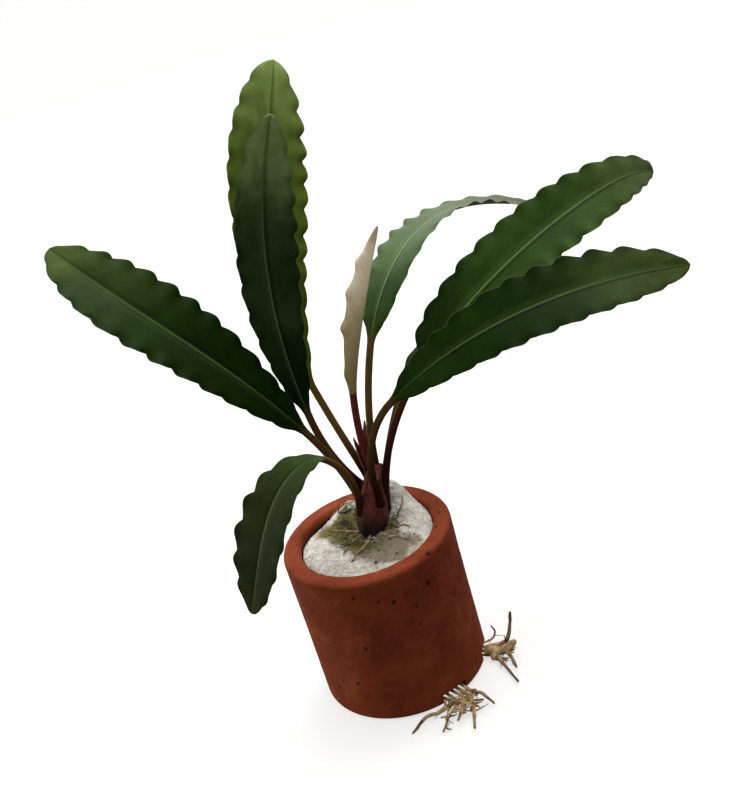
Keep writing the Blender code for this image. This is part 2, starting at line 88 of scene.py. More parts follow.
soft_box("top_light", (0.22, 0.26, 0.72), 0.45, 3.6)
soft_box("left_light", (-0.60, 0.10, 0.35), 0.35, 0.8)

# %% Floor
FLOOR_CORNERS = [(-6, -2, 0), (6, -2, 0), (6, 14, 0), (-6, 14, 0)]
floor_mesh = bpy.data.meshes.new("floor")
floor_mesh.from_pydata(FLOOR_CORNERS, [], [(0, 1, 2, 3)])
floor = bpy.data.objects.new("floor", floor_mesh)
bpy.context.scene.collection.objects.link(floor)
floor.visible_diffuse = False
floor.visible_glossy = False
pale = bpy.data.materials.new("pale_floor")
pale.use_nodes = True
pale_shader = pale.node_tree.nodes["Principled BSDF"]
pale_shader.inputs["Base Color"].default_value = (0.42, 0.42, 0.41, 1)
pale_shader.inputs["Roughness"].default_value = 0.9
pale_shader.inputs["Specular IOR Level"].default_value = 0.0
pale_shader.inputs["Emission Color"].default_value = (1, 1, 1, 1)
pale_shader.inputs["Emission Strength"].default_value = 0.62
floor_mesh.materials.append(pale)
print("floor:", [tuple(v.co) for v in floor_mesh.vertices])

# %% Camera
camera = bpy.data.objects.new("camera", bpy.data.cameras.new("camera"))
bpy.context.scene.collection.objects.link(camera)
camera.data.lens = 52
camera_right = (0.95241076, -0.16743446, -0.25471443)
camera_up = (0.3020267, 0.40554514, 0.86273577)
camera_back = (-0.0411535, -0.89860939, 0.43681523)
turn = Matrix((camera_right, camera_up, camera_back)).transposed()
camera.matrix_world = Matrix.Translation((0, -0.25686, 0.20474)) @ turn.to_4x4()
bpy.context.scene.camera = camera
bpy.context.scene.view_settings.view_transform = "Standard"
print("camera at", [round(c, 3) for c in camera.location])

# %% [markdown]
# ## Making meshes from rows of points
#
# Every piece here is a skin over rows of points: rings round a stalk, stations along a blade, circles
# round the pot. Working the points out with numpy and joining neighbouring rows keeps full control of
# shape, and lets each point carry a value, such as how far along the leaf it is, for its material.

# %% Skins over rows of points
rng = np.random.default_rng(7)


def skin(rows, closed_ends=True):
    """Points and faces of a skin over an array of rings shaped (rings, points, 3)."""
    count, around = rows.shape[:2]
    low = np.arange(count - 1)[:, None] * around + np.arange(around)[None]
    step = np.roll(np.arange(around), -1) - np.arange(around)
    across = low + step[None]
    faces = np.stack([low, across, across + around, low + around], -1).reshape(-1, 4).tolist()
    if closed_ends:
        faces.append(list(range(around))[::-1])
        faces.append(list(range((count - 1) * around, count * around)))
    return rows.reshape(-1, 3), faces


def add_piece(name, points, faces, material, nodes=(), values=None):
    """A mesh that rides with the plant and stands for solid nodes, with named values at its points."""
    mesh = bpy.data.meshes.new(name)
    mesh.from_pydata(np.asarray(points).tolist(), [], faces)
    for key, numbers in (values or {}).items():
        stored = mesh.attributes.new(key, "FLOAT", "POINT").data
        stored.foreach_set("value", np.ravel(numbers).astype(np.float32))
    mesh.polygons.foreach_set("use_smooth", [True] * len(mesh.polygons))
    mesh.materials.append(material)
    obj = bpy.data.objects.new(name, mesh)
    bpy.context.scene.collection.objects.link(obj)
    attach(obj, "root")
    if nodes:
        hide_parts(*nodes)
    return obj


print("random draws start from", rng.bit_generator.__class__.__name__)


# %% Lumps and tubes
def lumps(points, size, seed=0.0):
    """Smooth random lumps of this size, from -1 to 1, at each point."""
    q = np.asarray(points) / size + seed * 17.31
    base = np.floor(q)
    part = q - base
    part = part * part * (3 - 2 * part)
    total = np.zeros(q.shape[:-1])
    for corner in np.ndindex(2, 2, 2):
        c = np.array(corner)
        share = np.prod(np.where(c == 1, part, 1 - part), axis=-1)
        mixed = np.sin((base + c) @ np.array([127.1, 311.7, 74.7])) * 43758.5453
        total += share * (mixed - np.floor(mixed))
    return total * 2 - 1


def tubes(paths, radii, sides=6):
    """Round tubes along an array of paths shaped (tubes, points, 3), each ring turned with the last."""
    paths, radii = np.asarray(paths, float), np.asarray(radii, float)
    ways = np.gradient(paths, axis=1)
    ways /= np.linalg.norm(ways, axis=2, keepdims=True) + 1e-12
    normal = np.cross(ways[:, 0], [0.31, 0.53, 0.79])
    turns = 2 * pi * np.arange(sides) / sides
    rings = []
    for k in range(paths.shape[1]):
        way = ways[:, k]
        normal = normal - (normal * way).sum(1, keepdims=True) * way
        normal /= np.linalg.norm(normal, axis=1, keepdims=True) + 1e-12
        other = np.cross(way, normal)
        circle = np.cos(turns)[:, None] * normal[:, None] + np.sin(turns)[:, None] * other[:, None]
        rings.append(paths[:, k, None] + radii[:, k, None, None] * circle)
    rings = np.stack(rings, 1)
    points, faces = [], []
    for tube in rings:
        p, f = skin(tube)
        faces += [[i + len(points) * len(p) for i in face] for face in f]
        points.append(p)
    return np.concatenate(points), faces


print("lumps at the origin:", lumps([[0.0, 0.0, 0.0]], 0.01))

# %% [markdown]
# ## Finishes that several materials share
#
# Clay, wool, roots and leaves all have colour that drifts in soft patches with a finer grain on top.
# One node group makes that drift and each material places it with its own sizes. A group for leaf
# veins turns the values stored along and across a blade into a midrib, side veins and a margin.


# %% Helpers for shader nodes
def new_group(name, inputs, outputs):
    """An empty shader node group with named sockets, and its input and output nodes."""
    group = bpy.data.node_groups.new(name, "ShaderNodeTree")
    for label, kind, value in inputs:
        socket = group.interface.new_socket(name=label, in_out="INPUT", socket_type=kind)
        socket.default_value = value
    for label, kind in outputs:
        group.interface.new_socket(name=label, in_out="OUTPUT", socket_type=kind)
    return group, group.nodes.new("NodeGroupInput"), group.nodes.new("NodeGroupOutput")


def math(tree, operation, *values, clamp=False):
    """A Math node fed with numbers or sockets; gives its output socket."""
    node = tree.nodes.new("ShaderNodeMath")
    node.operation, node.use_clamp = operation, clamp
    for socket, value in zip(node.inputs, values):
        if isinstance(value, (int, float)):
            socket.default_value = value
        else:
            tree.links.new(value, socket)
    return node.outputs[0]


print("node helpers:", ", ".join(f.__name__ for f in (new_group, math)))


# %% Blend, ramp and noise nodes
def blend(tree, share, first, second, mode="MIX"):
    """A Mix node for two colours; each may be a colour or a socket."""
    node = tree.nodes.new("ShaderNodeMix")
    node.data_type, node.blend_type = "RGBA", mode
    for socket, value in ((node.inputs[0], share), (node.inputs[6], first), (node.inputs[7], second)):
        if isinstance(value, (int, float)):
            socket.default_value = value
        elif isinstance(value, tuple):
            socket.default_value = (*value, 1)
        else:
            tree.links.new(value, socket)
    return node.outputs[2]


def ramp(tree, value, low, high):
    """0 below low, 1 above high, smooth between."""
    node = tree.nodes.new("ShaderNodeMapRange")
    node.interpolation_type = "SMOOTHSTEP"
    node.inputs["From Min"].default_value, node.inputs["From Max"].default_value = low, high
    tree.links.new(value, node.inputs["Value"])
    return node.outputs["Result"]


def noise(tree, place, scale, detail=4.0, rough=0.55, twist=0.0):
    """A Noise texture; gives its value."""
    node = tree.nodes.new("ShaderNodeTexNoise")
    for socket, value in (("Detail", detail), ("Roughness", rough), ("Distortion", twist)):
        node.inputs[socket].default_value = value
    if isinstance(scale, (int, float)):
        node.inputs["Scale"].default_value = scale
    else:
        tree.links.new(scale, node.inputs["Scale"])
    tree.links.new(place, node.inputs["Vector"])
    return node.outputs["Fac"]


print("node helpers:", ", ".join(f.__name__ for f in (blend, ramp, noise)))

# %% Node group for mottled surfaces
mottle, m_in, m_out = new_group(
    "mottle",
    [
        ("Place", "NodeSocketVector", (0, 0, 0)),
        ("Patches", "NodeSocketFloat", 120.0),
        ("Grain", "NodeSocketFloat", 1500.0),
        ("Dark", "NodeSocketColor", (0, 0, 0, 1)),
        ("Middle", "NodeSocketColor", (0.5, 0.5, 0.5, 1)),
        ("Light", "NodeSocketColor", (1, 1, 1, 1)),
    ],
    [("Color", "NodeSocketColor"), ("Patch", "NodeSocketFloat"), ("Height", "NodeSocketFloat")],
)
patch = noise(mottle, m_in.outputs["Place"], m_in.outputs["Patches"], 5.0, 0.6, 0.4)
grain = noise(mottle, m_in.outputs["Place"], m_in.outputs["Grain"], 3.0, 0.65)
low_colour = blend(mottle, ramp(mottle, patch, 0.30, 0.52), m_in.outputs["Dark"], m_in.outputs["Middle"])
both = blend(mottle, ramp(mottle, patch, 0.52, 0.74), low_colour, m_in.outputs["Light"])
speckled = blend(mottle, ramp(mottle, grain, 0.58, 0.75), both, m_in.outputs["Light"])
speckled = blend(mottle, ramp(mottle, grain, 0.40, 0.27), speckled, m_in.outputs["Dark"])
mottle.links.new(blend(mottle, 0.55, both, speckled), m_out.inputs["Color"])
mottle.links.new(patch, m_out.inputs["Patch"])
mottle.links.new(math(mottle, "ADD", math(mottle, "MULTIPLY", patch, 0.5), grain), m_out.inputs["Height"])
print("mottle group:", len(mottle.nodes), "nodes")

# %% Node group for leaf veins
veins, v_in, v_out = new_group(
    "leaf_veins",
    [
        ("Along", "NodeSocketFloat", 0.0),
        ("Across", "NodeSocketFloat", 0.0),
        ("Count", "NodeSocketFloat", 13.0),
        ("Jitter", "NodeSocketFloat", 0.5),
    ],
    [("Midrib", "NodeSocketFloat"), ("Side", "NodeSocketFloat"), ("Margin", "NodeSocketFloat")],
)
off = math(veins, "ABSOLUTE", v_in.outputs["Across"])
midrib = math(veins, "SUBTRACT", 1.0, ramp(veins, off, 0.016, 0.042))
climb = math(veins, "MULTIPLY", math(veins, "POWER", off, 0.75), 0.17)
phase = math(veins, "SUBTRACT", v_in.outputs["Along"], climb)
stray = math(veins, "MULTIPLY", math(veins, "SUBTRACT", v_in.outputs["Jitter"], 0.5), 0.05)
phase = math(veins, "ADD", phase, stray)
phase = math(veins, "FRACT", math(veins, "MULTIPLY", phase, v_in.outputs["Count"]))
near = math(veins, "ABSOLUTE", math(veins, "SUBTRACT", phase, 0.5))
side_vein = math(veins, "SUBTRACT", 1.0, ramp(veins, near, 0.03, 0.15))
side_vein = math(veins, "MULTIPLY", side_vein, math(veins, "SUBTRACT", 1.0, ramp(veins, off, 0.55, 0.95)))
veins.links.new(midrib, v_out.inputs["Midrib"])
veins.links.new(side_vein, v_out.inputs["Side"])
veins.links.new(ramp(veins, off, 0.72, 1.0), v_out.inputs["Margin"])
print("vein group:", len(veins.nodes), "nodes")


# %% Material helpers
def new_material(name, **settings):
    """A material with a Principled shader whose plain settings are given by name."""
    material = bpy.data.materials.new(name)
    material.use_nodes = True
    shader = material.node_tree.nodes["Principled BSDF"]
    for label, value in settings.items():
        shader.inputs[label.replace("_", " ")].default_value = value
    return material, material.node_tree, shader


def read(tree, name):
    """The value stored at the mesh's points under this name."""
    node = tree.nodes.new("ShaderNodeAttribute")
    node.attribute_name = name
    return node.outputs["Fac"]


def place_of(tree, stretch=(1, 1, 1)):
    """Object coordinates, stretched where a grain runs one way."""
    where = tree.nodes.new("ShaderNodeTexCoord").outputs["Object"]
    scaled = tree.nodes.new("ShaderNodeVectorMath")
    scaled.operation = "MULTIPLY"
    scaled.inputs[1].default_value = stretch
    tree.links.new(where, scaled.inputs[0])
    return scaled.outputs["Vector"]


print("materials are made by", new_material.__name__)


# %% Groups and bumps inside a material
def use_group(tree, group, **inputs):
    """A group node with some inputs set or linked; gives its outputs."""
    node = tree.nodes.new("ShaderNodeGroup")
    node.node_tree = group
    for label, value in inputs.items():
        if isinstance(value, tuple):
            node.inputs[label].default_value = (*value, 1)
        elif isinstance(value, (int, float)):
            node.inputs[label].default_value = value
        else:
            tree.links.new(value, node.inputs[label])
    return node.outputs


def bump(tree, shader, height, distance, strength=1.0):
    """A Bump node into the shader's Normal."""
    node = tree.nodes.new("ShaderNodeBump")
    node.inputs["Distance"].default_value = distance
    node.inputs["Strength"].default_value = strength
    tree.links.new(height, node.inputs["Height"])
    tree.links.new(node.outputs["Normal"], shader.inputs["Normal"])


print("groups to place:", mottle.name, "and", veins.name)

# %% [markdown]
# ## Clay pot
#
# The pot is thick, unglazed red clay, pressed in a mould and fired, with rounded edges, a few pits and
# scratches, and painted shade on its inner wall. Turning a profile and cutting the four drain slots with
# Booleans follows how it is made; the pits are then pressed into the fine mesh and darkened through a value.

# %% Clay finish
clay, clay_tree, clay_shader = new_material("fired_clay", Specular_IOR_Level=0.10)
clay_place = place_of(clay_tree)
clay_look = use_group(
    clay_tree, mottle, Place=clay_place, Patches=95.0, Grain=2300.0,
    Dark=(0.165, 0.028, 0.009), Middle=(0.245, 0.046, 0.015), Light=(0.33, 0.076, 0.028),
)
mark = read(clay_tree, "mark")
inner_wall_shade = read(clay_tree, "inner_wall_shade")
scratch = read(clay_tree, "scratch")
clay_colour = blend(clay_tree, mark, clay_look["Color"], (0.028, 0.009, 0.006))
clay_colour = blend(clay_tree, scratch, clay_colour, (0.36, 0.15, 0.09))
pores = noise(clay_tree, clay_place, 900.0, 2.0, 0.5)
pore = math(clay_tree, "MULTIPLY", ramp(clay_tree, pores, 0.68, 0.74), 0.7)
clay_colour = blend(clay_tree, pore, clay_colour, (0.07, 0.018, 0.010))
# painted shade: the pot's inner wall and floor are darkened where the pot shades itself
clay_colour = blend(clay_tree, inner_wall_shade, clay_colour, (0.045, 0.014, 0.008))
clay_tree.links.new(clay_colour, clay_shader.inputs["Base Color"])
clay_rough = math(clay_tree, "SUBTRACT", 0.84, math(clay_tree, "MULTIPLY", clay_look["Patch"], 0.22))
clay_tree.links.new(clay_rough, clay_shader.inputs["Roughness"])
clay_height = math(clay_tree, "SUBTRACT", clay_look["Height"], math(clay_tree, "MULTIPLY", pore, 1.2))
bump(clay_tree, clay_shader, clay_height, 0.00016, 0.8)
print("clay finish ready")

# %% Turn the pot
POT_RADIUS, POT_HEIGHT, POT_WALL, POT_FLOOR = 0.0225, 0.044, 0.0047, 0.005
EDGE = 0.0011
BORE = POT_RADIUS - POT_WALL
DRAIN_WIDTH, DRAIN_INNER, DRAIN_OUTER, GROOVE_HEIGHT = 0.0080, 0.0106, 0.0150, 0.003
DRAIN_TURNS = (radians(-64), radians(116), radians(-17), radians(163))


def rounded(centre, height, start):
    """Seven points of a rounded edge in the pot's profile."""
    return [(centre + EDGE * cos(start + a),
             height + EDGE * sin(start + a)) for a in np.linspace(0, pi / 2, 7)]


def straight(first, second, count):
    """Evenly spaced points between two corners of the profile, both left out."""
    shares = np.linspace(0, 1, count + 2)[1:-1]
    return [tuple(np.array(first) + (np.array(second) - first) * t) for t in shares]


outer_low, outer_high = (POT_RADIUS, EDGE), (POT_RADIUS, POT_HEIGHT - EDGE)
profile = [(0.0004, 0), (BORE * 0.4, 0), (BORE * 0.8, 0)] + rounded(POT_RADIUS - EDGE, EDGE, -pi / 2)
profile += straight(outer_low, outer_high, 118) + rounded(POT_RADIUS - EDGE, POT_HEIGHT - EDGE, 0)
profile += straight((POT_RADIUS - EDGE, POT_HEIGHT), (BORE + EDGE, POT_HEIGHT), 7)
profile += rounded(BORE + EDGE, POT_HEIGHT - EDGE, pi / 2)
profile += straight((BORE, POT_HEIGHT - EDGE), (BORE, POT_FLOOR), 26)
profile += [(BORE, POT_FLOOR), (0.0004, POT_FLOOR)]
SIDES = 420
turns = 2 * pi * np.arange(SIDES) / SIDES
shape = np.array(profile)
x, y = shape[:, :1] * np.cos(turns), shape[:, :1] * np.sin(turns)
points, faces = skin(np.stack([x, y, np.tile(shape[:, 1:], SIDES)], -1))
pot_mesh = bpy.data.meshes.new("turned_clay")
pot_mesh.from_pydata(points.tolist(), [], faces)
pot_blank = bpy.data.objects.new("turned_clay", pot_mesh)
bpy.context.scene.collection.objects.link(pot_blank)
print("profile of", len(profile), "points, turned through", SIDES, "sides")


# %% Cut the drain slots and grooves
BOX_SIDES = [(3, 2, 1, 0), (4, 5, 6, 7), (0, 1, 5, 4), (1, 2, 6, 5), (2, 3, 7, 6), (3, 0, 4, 7)]


def drain_cutter(low, high, angle):
    """A box between two corners, turned to face its side of the pot, and taken away from the pot."""
    outline = [(low[0], low[1]), (high[0], low[1]), (high[0], high[1]), (low[0], high[1])]
    corners = [(x, y, z) for z in (low[2], high[2]) for x, y in outline]
    mesh = bpy.data.meshes.new("drain_cutter")
    mesh.from_pydata(corners, [], BOX_SIDES)
    mesh.transform(Matrix.Rotation(angle, 4, "Z"))
    cutter = bpy.data.objects.new("drain_cutter", mesh)
    bpy.context.scene.collection.objects.link(cutter)
    cut = pot_blank.modifiers.new("drain", "BOOLEAN")
    cut.operation, cut.solver, cut.object = "DIFFERENCE", "EXACT", cutter
    return cutter


half = DRAIN_WIDTH / 2
cutters = []
for angle in DRAIN_TURNS:
    slot_low, slot_high = (DRAIN_INNER, -half, -0.002), (DRAIN_OUTER, half, POT_FLOOR + 0.002)
    groove_low = (DRAIN_INNER + 0.0002, -half + 0.0001, -0.003)
    groove_high = (POT_RADIUS * 1.5, half - 0.0001, GROOVE_HEIGHT)
    cutters += [drain_cutter(slot_low, slot_high, angle), drain_cutter(groove_low, groove_high, angle)]
bpy.context.view_layer.update()
cut_pot = bpy.data.meshes.new_from_object(pot_blank.evaluated_get(bpy.context.evaluated_depsgraph_get()))
for helper in cutters + [pot_blank]:
    bpy.data.objects.remove(helper, do_unlink=True)
print("pot:", len(cut_pot.polygons), "faces after the drains")

# %% Pits and scratches
# Each mark runs from one point to another: way round in degrees, radius and height, then its half width
# and its depth. A negative depth is a pale scratch that stands level.
WALL = POT_RADIUS
MARKS = [
    ((-61, WALL, 0.0371), (-61, WALL, 0.0361), 0.00042, 0.00045),
    ((-86, WALL, 0.0364), (-87, WALL, 0.0360), 0.00045, 0.0004),
    ((-95, WALL, 0.0379), (-96, WALL, 0.0376), 0.00030, 0.0003),
    ((-105, WALL, 0.0308), (-105, WALL, 0.0286), 0.00016, 0.0003),
    ((-113, WALL, 0.0244), (-113, WALL, 0.0240), 0.00034, 0.0003),
    ((-74, WALL, 0.0270), (-74, WALL, 0.0267), 0.00028, 0.0003),
    ((-73, WALL, 0.0328), (-73, WALL, 0.0322), 0.00030, 0.0003),
    ((-42, WALL, 0.0268), (-38, WALL, 0.0288), 0.00018, 0.0003),
    ((-31, WALL, 0.0294), (-31, WALL, 0.0290), 0.00026, 0.0003),
    ((-26, WALL, 0.0148), (-26, WALL, 0.0142), 0.00028, 0.0003),
    ((-110, WALL, 0.0402), (-111, WALL, 0.0398), 0.00030, 0.0003),
    ((-76, WALL, 0.0190), (-66, WALL, 0.0222), 0.00013, -0.0001),
    ((-4, 0.0196, 0.0440), (-5, 0.0198, 0.0440), 0.00030, 0.0003),
    ((-23, 0.0190, 0.0440), (-24, 0.0192, 0.0440), 0.00028, 0.0003),
    ((-53, 0.0222, 0.0436), (-54, 0.0220, 0.0438), 0.00055, 0.0006),
    ((-128, WALL, 0.0120), (-126, WALL, 0.0128), 0.00030, 0.0003),
]
for _ in range(70):
    way, level = rng.uniform(-20, 235), rng.uniform(0.003, 0.042)
    MARKS.append(((way, WALL, level), (way + rng.normal(0, 1.5), WALL, level + rng.normal(0, 0.0006)),
                  rng.uniform(0.00012, 0.00034), rng.uniform(0.00012, 0.00035)))
print(len(MARKS), "marks in the clay")

# %% Press the marks into the clay
co = np.empty(len(cut_pot.vertices) * 3, np.float32)
cut_pot.vertices.foreach_get("co", co)
co = co.reshape(-1, 3).astype(float)
normal = np.empty(len(cut_pot.vertices) * 3, np.float32)
cut_pot.vertex_normals.foreach_get("vector", normal)
normal = normal.reshape(-1, 3).astype(float)
press, mark_value, scratch_value = (np.zeros(len(co)) for _ in range(3))
for first, second, width, depth in MARKS:
    a, b = (np.array([r * cos(radians(w)), r * sin(radians(w)), z]) for w, r, z in (first, second))
    share = np.clip(((co - a) @ (b - a)) / max((b - a) @ (b - a), 1e-12), 0, 1)
    away = np.linalg.norm(co - (a + share[:, None] * (b - a)), axis=1) / width
    strength = np.exp(-away**2)
    if depth > 0:
        press += depth * strength
        mark_value = np.maximum(mark_value, np.clip(strength * 1.25, 0, 1))
    else:
        scratch_value = np.maximum(scratch_value, 0.7 * strength)
radius = np.hypot(co[:, 0], co[:, 1])
# painted shade mask: the inner wall and floor of the pot, below the rim
inside = np.clip((BORE + 0.0009 - radius) / 0.0009, 0, 1)
inside *= np.clip((POT_HEIGHT - 0.0010 - co[:, 2]) / 0.0012, 0, 1)
waver = 0.00013 * lumps(co, 0.012, 1) + 0.00005 * lumps(co, 0.0022, 2) + 0.00003 * lumps(co, 0.0008, 3)
steady = np.clip(co[:, 2] / 0.0025, 0, 1)
co += normal * (waver * steady * np.where(co[:, 2] > 0.001, 1, 0) - press * 0.55)[:, None]
co[:, 2] = np.maximum(co[:, 2], 0)
pot_faces = [list(face.vertices) for face in cut_pot.polygons]
add_piece("pot_body", co, pot_faces, clay, ["clay_pot"],
          {"mark": mark_value, "scratch": scratch_value, "inner_wall_shade": inside})
print("pot surface:", len(co), "points, pressed in by up to", round(press.max() * 1000, 2), "mm")

# %% [markdown]
# ## Leaves
#
# Each leaf is a channelled stalk that flattens into a long strap-shaped blade, folded a little along
# its midrib, with margins that ripple every seven millimetres. The solid model bends a spine in space
# and puts sections on it. The same spine is walked here in finer steps, so the visible leaf lies where
# the solid one does, and the sections gain thickness, a midrib and crisp ripples.

# %% The plant's own frame
CROWN = (0.0020, 0.0035)
PLANT_PLACE, PLANT_LEAN = Vector((*CROWN, 0.0425)), radians(17)
plant = np.array(Matrix.Translation(PLANT_PLACE) @ Matrix.Rotation(PLANT_LEAN, 4, "Y"))
RHIZOME_RADIUS, RHIZOME_TOP_RADIUS, RHIZOME_TOP = 0.0029, 0.0017, 0.0142
STALK_RADIUS, STALK_CLEARANCE, FOLD, RIPPLE = 0.00095, 0.00045, radians(9), 0.0068


def to_world(points):
    """Points from the plant's leaning frame to the pot's."""
    return np.asarray(points) @ plant[:3, :3].T + plant[:3, 3]


print("the crown stands at", [round(c, 4) for c in PLANT_PLACE])

# %% Sizes of each leaf
# heading; foot height and way round; rise and sweep at foot, neck, middle and tip; stalk and blade
# length; width; fullness; roll at neck, middle and tip. Angles are in degrees.
LEAVES = {
    "leaf_left": (156, (0.0092, 172), (57, 52, 30, 20), (2, 20, 3, -25), 0.0220, 0.0835, 0.0220, 1.38,
                  (40, 26, 36)),
    "leaf_upright": (137, (0.0112, 134), (44, 70, 81, 98), (23, 13, 2, -8), 0.0235, 0.0780, 0.0190, 1.36,
                     (26, 12, 28)),
    "leaf_tall": (100, (0.0130, 98), (55, 70, 74, 54), (26, 26, 1, -16), 0.0270, 0.0870, 0.0220, 1.49,
                  (2, -13, -2)),
    "leaf_drooping": (213, (0.0055, 210), (80, 33, -53, -77), (2, 4, 13, -2), 0.0255, 0.0485, 0.0170, 1.36,
                      (0, -3, 2)),
    "leaf_arching": (47, (0.0135, 60), (94, 78, 18, -11), (14, 4, -5, -41), 0.0350, 0.0775, 0.0170, 1.26,
                     (-37, 22, -24)),
    "leaf_upper_right": (45, (0.0065, -24), (101, 48, 43, -18), (4, -7, -26, 1), 0.0380, 0.0925, 0.0195,
                         0.79, (-19, -9, -78)),
    "leaf_lower_right": (-8, (0.0085, -64), (114, 63, 29, 6), (8, -29, -1, 7), 0.0335, 0.0820, 0.0190, 1.37,
                         (-59, -31, -43)),
    "leaf_hidden_right": (55, (0.0090, 22), (84, 56, 18, 17), (4, 2, -18, -6), 0.0230, 0.0600, 0.0125, 1.41,
                          (12, 18, 5)),
}
NEW_LEAF = (95, (RHIZOME_TOP, 90), (79, 87, 98, 112), (20, 7, -4, -11), 0.0235, 0.0470, 0.0048, 1.1,
            (0, 0, 0))
print("leaves to make:", ", ".join(LEAVES))


# %% The spine of a leaf
def along(knots, u):
    """A value that passes through three knots along the blade."""
    return knots[0] * (1 - u) * (1 - 2 * u) + knots[1] * 4 * u * (1 - u) + knots[2] * u * (2 * u - 1)


def spine(leaf, start, stalk_steps, blade_steps):
    """Stations along a leaf: place, way forward, across and up, share of the stalk, share of the blade."""
    heading, _, rise, sweep, stalk, blade, _, _, roll = leaf
    out = np.array([cos(radians(heading)), sin(radians(heading)), 0])
    left = np.array([-out[1], out[0], 0])
    up_z = np.array([0, 0, 1.0])
    shares = [(step / stalk_steps, 0.0) for step in range(stalk_steps)]
    shares += [(1.0, step / blade_steps) for step in range(blade_steps + 1)]
    place, last, stations = np.array(start, float), None, []
    for s, u in shares:
        r, w = (radians(along(k[1:], u) if u > 0 else k[0] + (k[1] - k[0]) * s) for k in (rise, sweep))
        forward = cos(w) * (cos(r) * out + sin(r) * up_z) + sin(w) * left
        above = cos(r) * up_z - sin(r) * out
        above -= above @ forward * forward
        above /= np.linalg.norm(above)
        aside = np.cross(above, forward)
        if last is not None:
            ahead = last + forward
            step = blade / blade_steps if u > 0 else stalk / stalk_steps
            place = place + ahead / np.linalg.norm(ahead) * step
        last = forward
        t = radians(along(roll, u))
        across = aside * cos(t) - above * sin(t)
        stations.append((place, forward, across, above * cos(t) + aside * sin(t), s, u))
    return [np.array(column) for column in zip(*stations)]


def foot_of(leaf):
    """Where the middle of a stalk starts, beside the rhizome, and the way out from it."""
    height, around = leaf[1][0], radians(leaf[1][1])
    reach = RHIZOME_RADIUS + (RHIZOME_TOP_RADIUS - RHIZOME_RADIUS) * height / RHIZOME_TOP
    reach += STALK_CLEARANCE + STALK_RADIUS
    way = np.array([cos(around), sin(around), 0])
    return way * reach + np.array([0, 0, height]), way


print("foot of the tall leaf:", foot_of(LEAVES["leaf_tall"])[0].round(4))


# %% Widths of a leaf
def smooth(low, high, value):
    """0 below low, 1 above high, smooth between."""
    t = np.clip((np.asarray(value) - low) / (high - low), 0, 1)
    return t * t * (3 - 2 * t)


def half_widths(leaf, s, u):
    """Half widths of the stalk and of the whole leaf, at shares s of the stalk and u of the blade."""
    _, _, _, _, stalk, _, width, fullness, _ = leaf
    core = STALK_RADIUS * (1 - 0.66 * u) * (1 + 0.42 * np.exp(-s * stalk / 0.0035))
    half = width / 2 * np.maximum(np.sin(pi * u**fullness), 0) ** 0.58
    return core, np.sqrt(half**2 + core**2)


print("left leaf, halfway along its blade:", half_widths(LEAVES["leaf_left"], 1.0, 0.5)[1].round(4))


# %% The skin of one leaf
def leaf_skin(leaf, seed, ruffle=1.0, stalk_steps=30, blade_steps=168, columns=25):
    """Rings of a leaf, and the values along, across, stalk and upper at their points."""
    blade, width = leaf[5:7]
    start, way = foot_of(leaf)
    place, forward, across, up, s, u = spine(leaf, start, stalk_steps, blade_steps)
    buried = 3
    sink = np.linspace(0.0020, 0.0005, buried)[:, None] * (-way - 0.35 * forward[0])
    place = np.concatenate([place[0] + sink, place])
    across, up = (np.concatenate([np.repeat(a[:1], buried, 0), a]) for a in (across, up))
    s, u = (np.concatenate([np.zeros(buried), a]) for a in (s, u))
    distance = u * blade
    core, half = half_widths(leaf, s, u)
    flat = smooth(0.0, 0.10, u)[:, None]
    k = np.arange(columns)
    round_v = -np.cos(pi * k / (columns - 1))
    flat_v = np.sin(round_v * pi / 2) * 0.25 + round_v * 0.75
    v = round_v + (flat_v - round_v) * flat
    side = np.sign(v)
    beat = 2 * pi * distance[:, None] / RIPPLE + side
    drift = lumps(np.stack([distance[:, None] + 0 * v, side * 0.01, 0 * v + seed], -1), 0.013, seed)
    full = (half * 2 / width)[:, None]
    notch = (1 - np.abs(np.sin((beat + 0.9 * drift + 0.5) / 2))) ** 1.5
    scallop = 1 + flat * (0.022 - 0.105 * (1 + 0.35 * drift) * notch) * np.abs(v) ** 4
    ripple = ruffle * 0.00046 * full * (1 + 0.45 * drift) * np.sin(beat + 0.9 * drift) * np.abs(v) ** 4.2
    sway = 0.0006 * lumps(np.stack([distance[:, None] + 0 * v, v * 0.006, 0 * v + seed], -1), 0.02,
                          seed + 3) * full
    x = v * half[:, None] * scallop
    fold = np.abs(x) * tan(FOLD) * (1.12 - 0.25 * np.abs(v))
    groove = np.exp(-((x / 0.00050) ** 2)) * flat
    crown = fold + ripple + sway * np.abs(v)
    thick = (0.00021 * (1 - 0.35 * v**2)) * (1 - np.abs(v) ** 6)
    rib_top = crown + thick - 0.00016 * groove + 0.00011 * np.exp(-((x / 0.00028) ** 2)) * flat
    keel = 0.72 * core[:, None] * np.exp(-((x / (0.62 * core[:, None] + 0.00012)) ** 2))
    rib_low = crown - thick - keel
    bow = np.sqrt(np.maximum(1 - v**2, 0)) * core[:, None]
    channel = 0.30 * core[:, None] * np.exp(-((v / 0.55) ** 2)) * smooth(0.25, 1, s)[:, None]
    round_x = round_v[None] * core[:, None]
    top_y = (bow - channel) * (1 - flat) + rib_top * flat
    low_y = -bow * (1 - flat) + rib_low * flat
    x = round_x * (1 - flat) + x * flat
    upper = place[:, None] + across[:, None] * x[..., None] + up[:, None] * top_y[..., None]
    lower = place[:, None] + across[:, None] * x[..., None] + up[:, None] * low_y[..., None]

    def round_ring(over, under):
        """Values of the upper face and then of the lower face, in the order of a ring's points."""
        return np.concatenate([(over + 0 * v)[:, ::-1], (under + 0 * v)[:, 1:-1]], 1)

    values = {"along": round_ring(u[:, None], u[:, None]), "across": round_ring(v, v),
              "stalk": round_ring(s[:, None], s[:, None]), "upper": round_ring(1, 0)}
    return to_world(np.concatenate([upper[:, ::-1], lower[:, 1:-1]], 1)), values


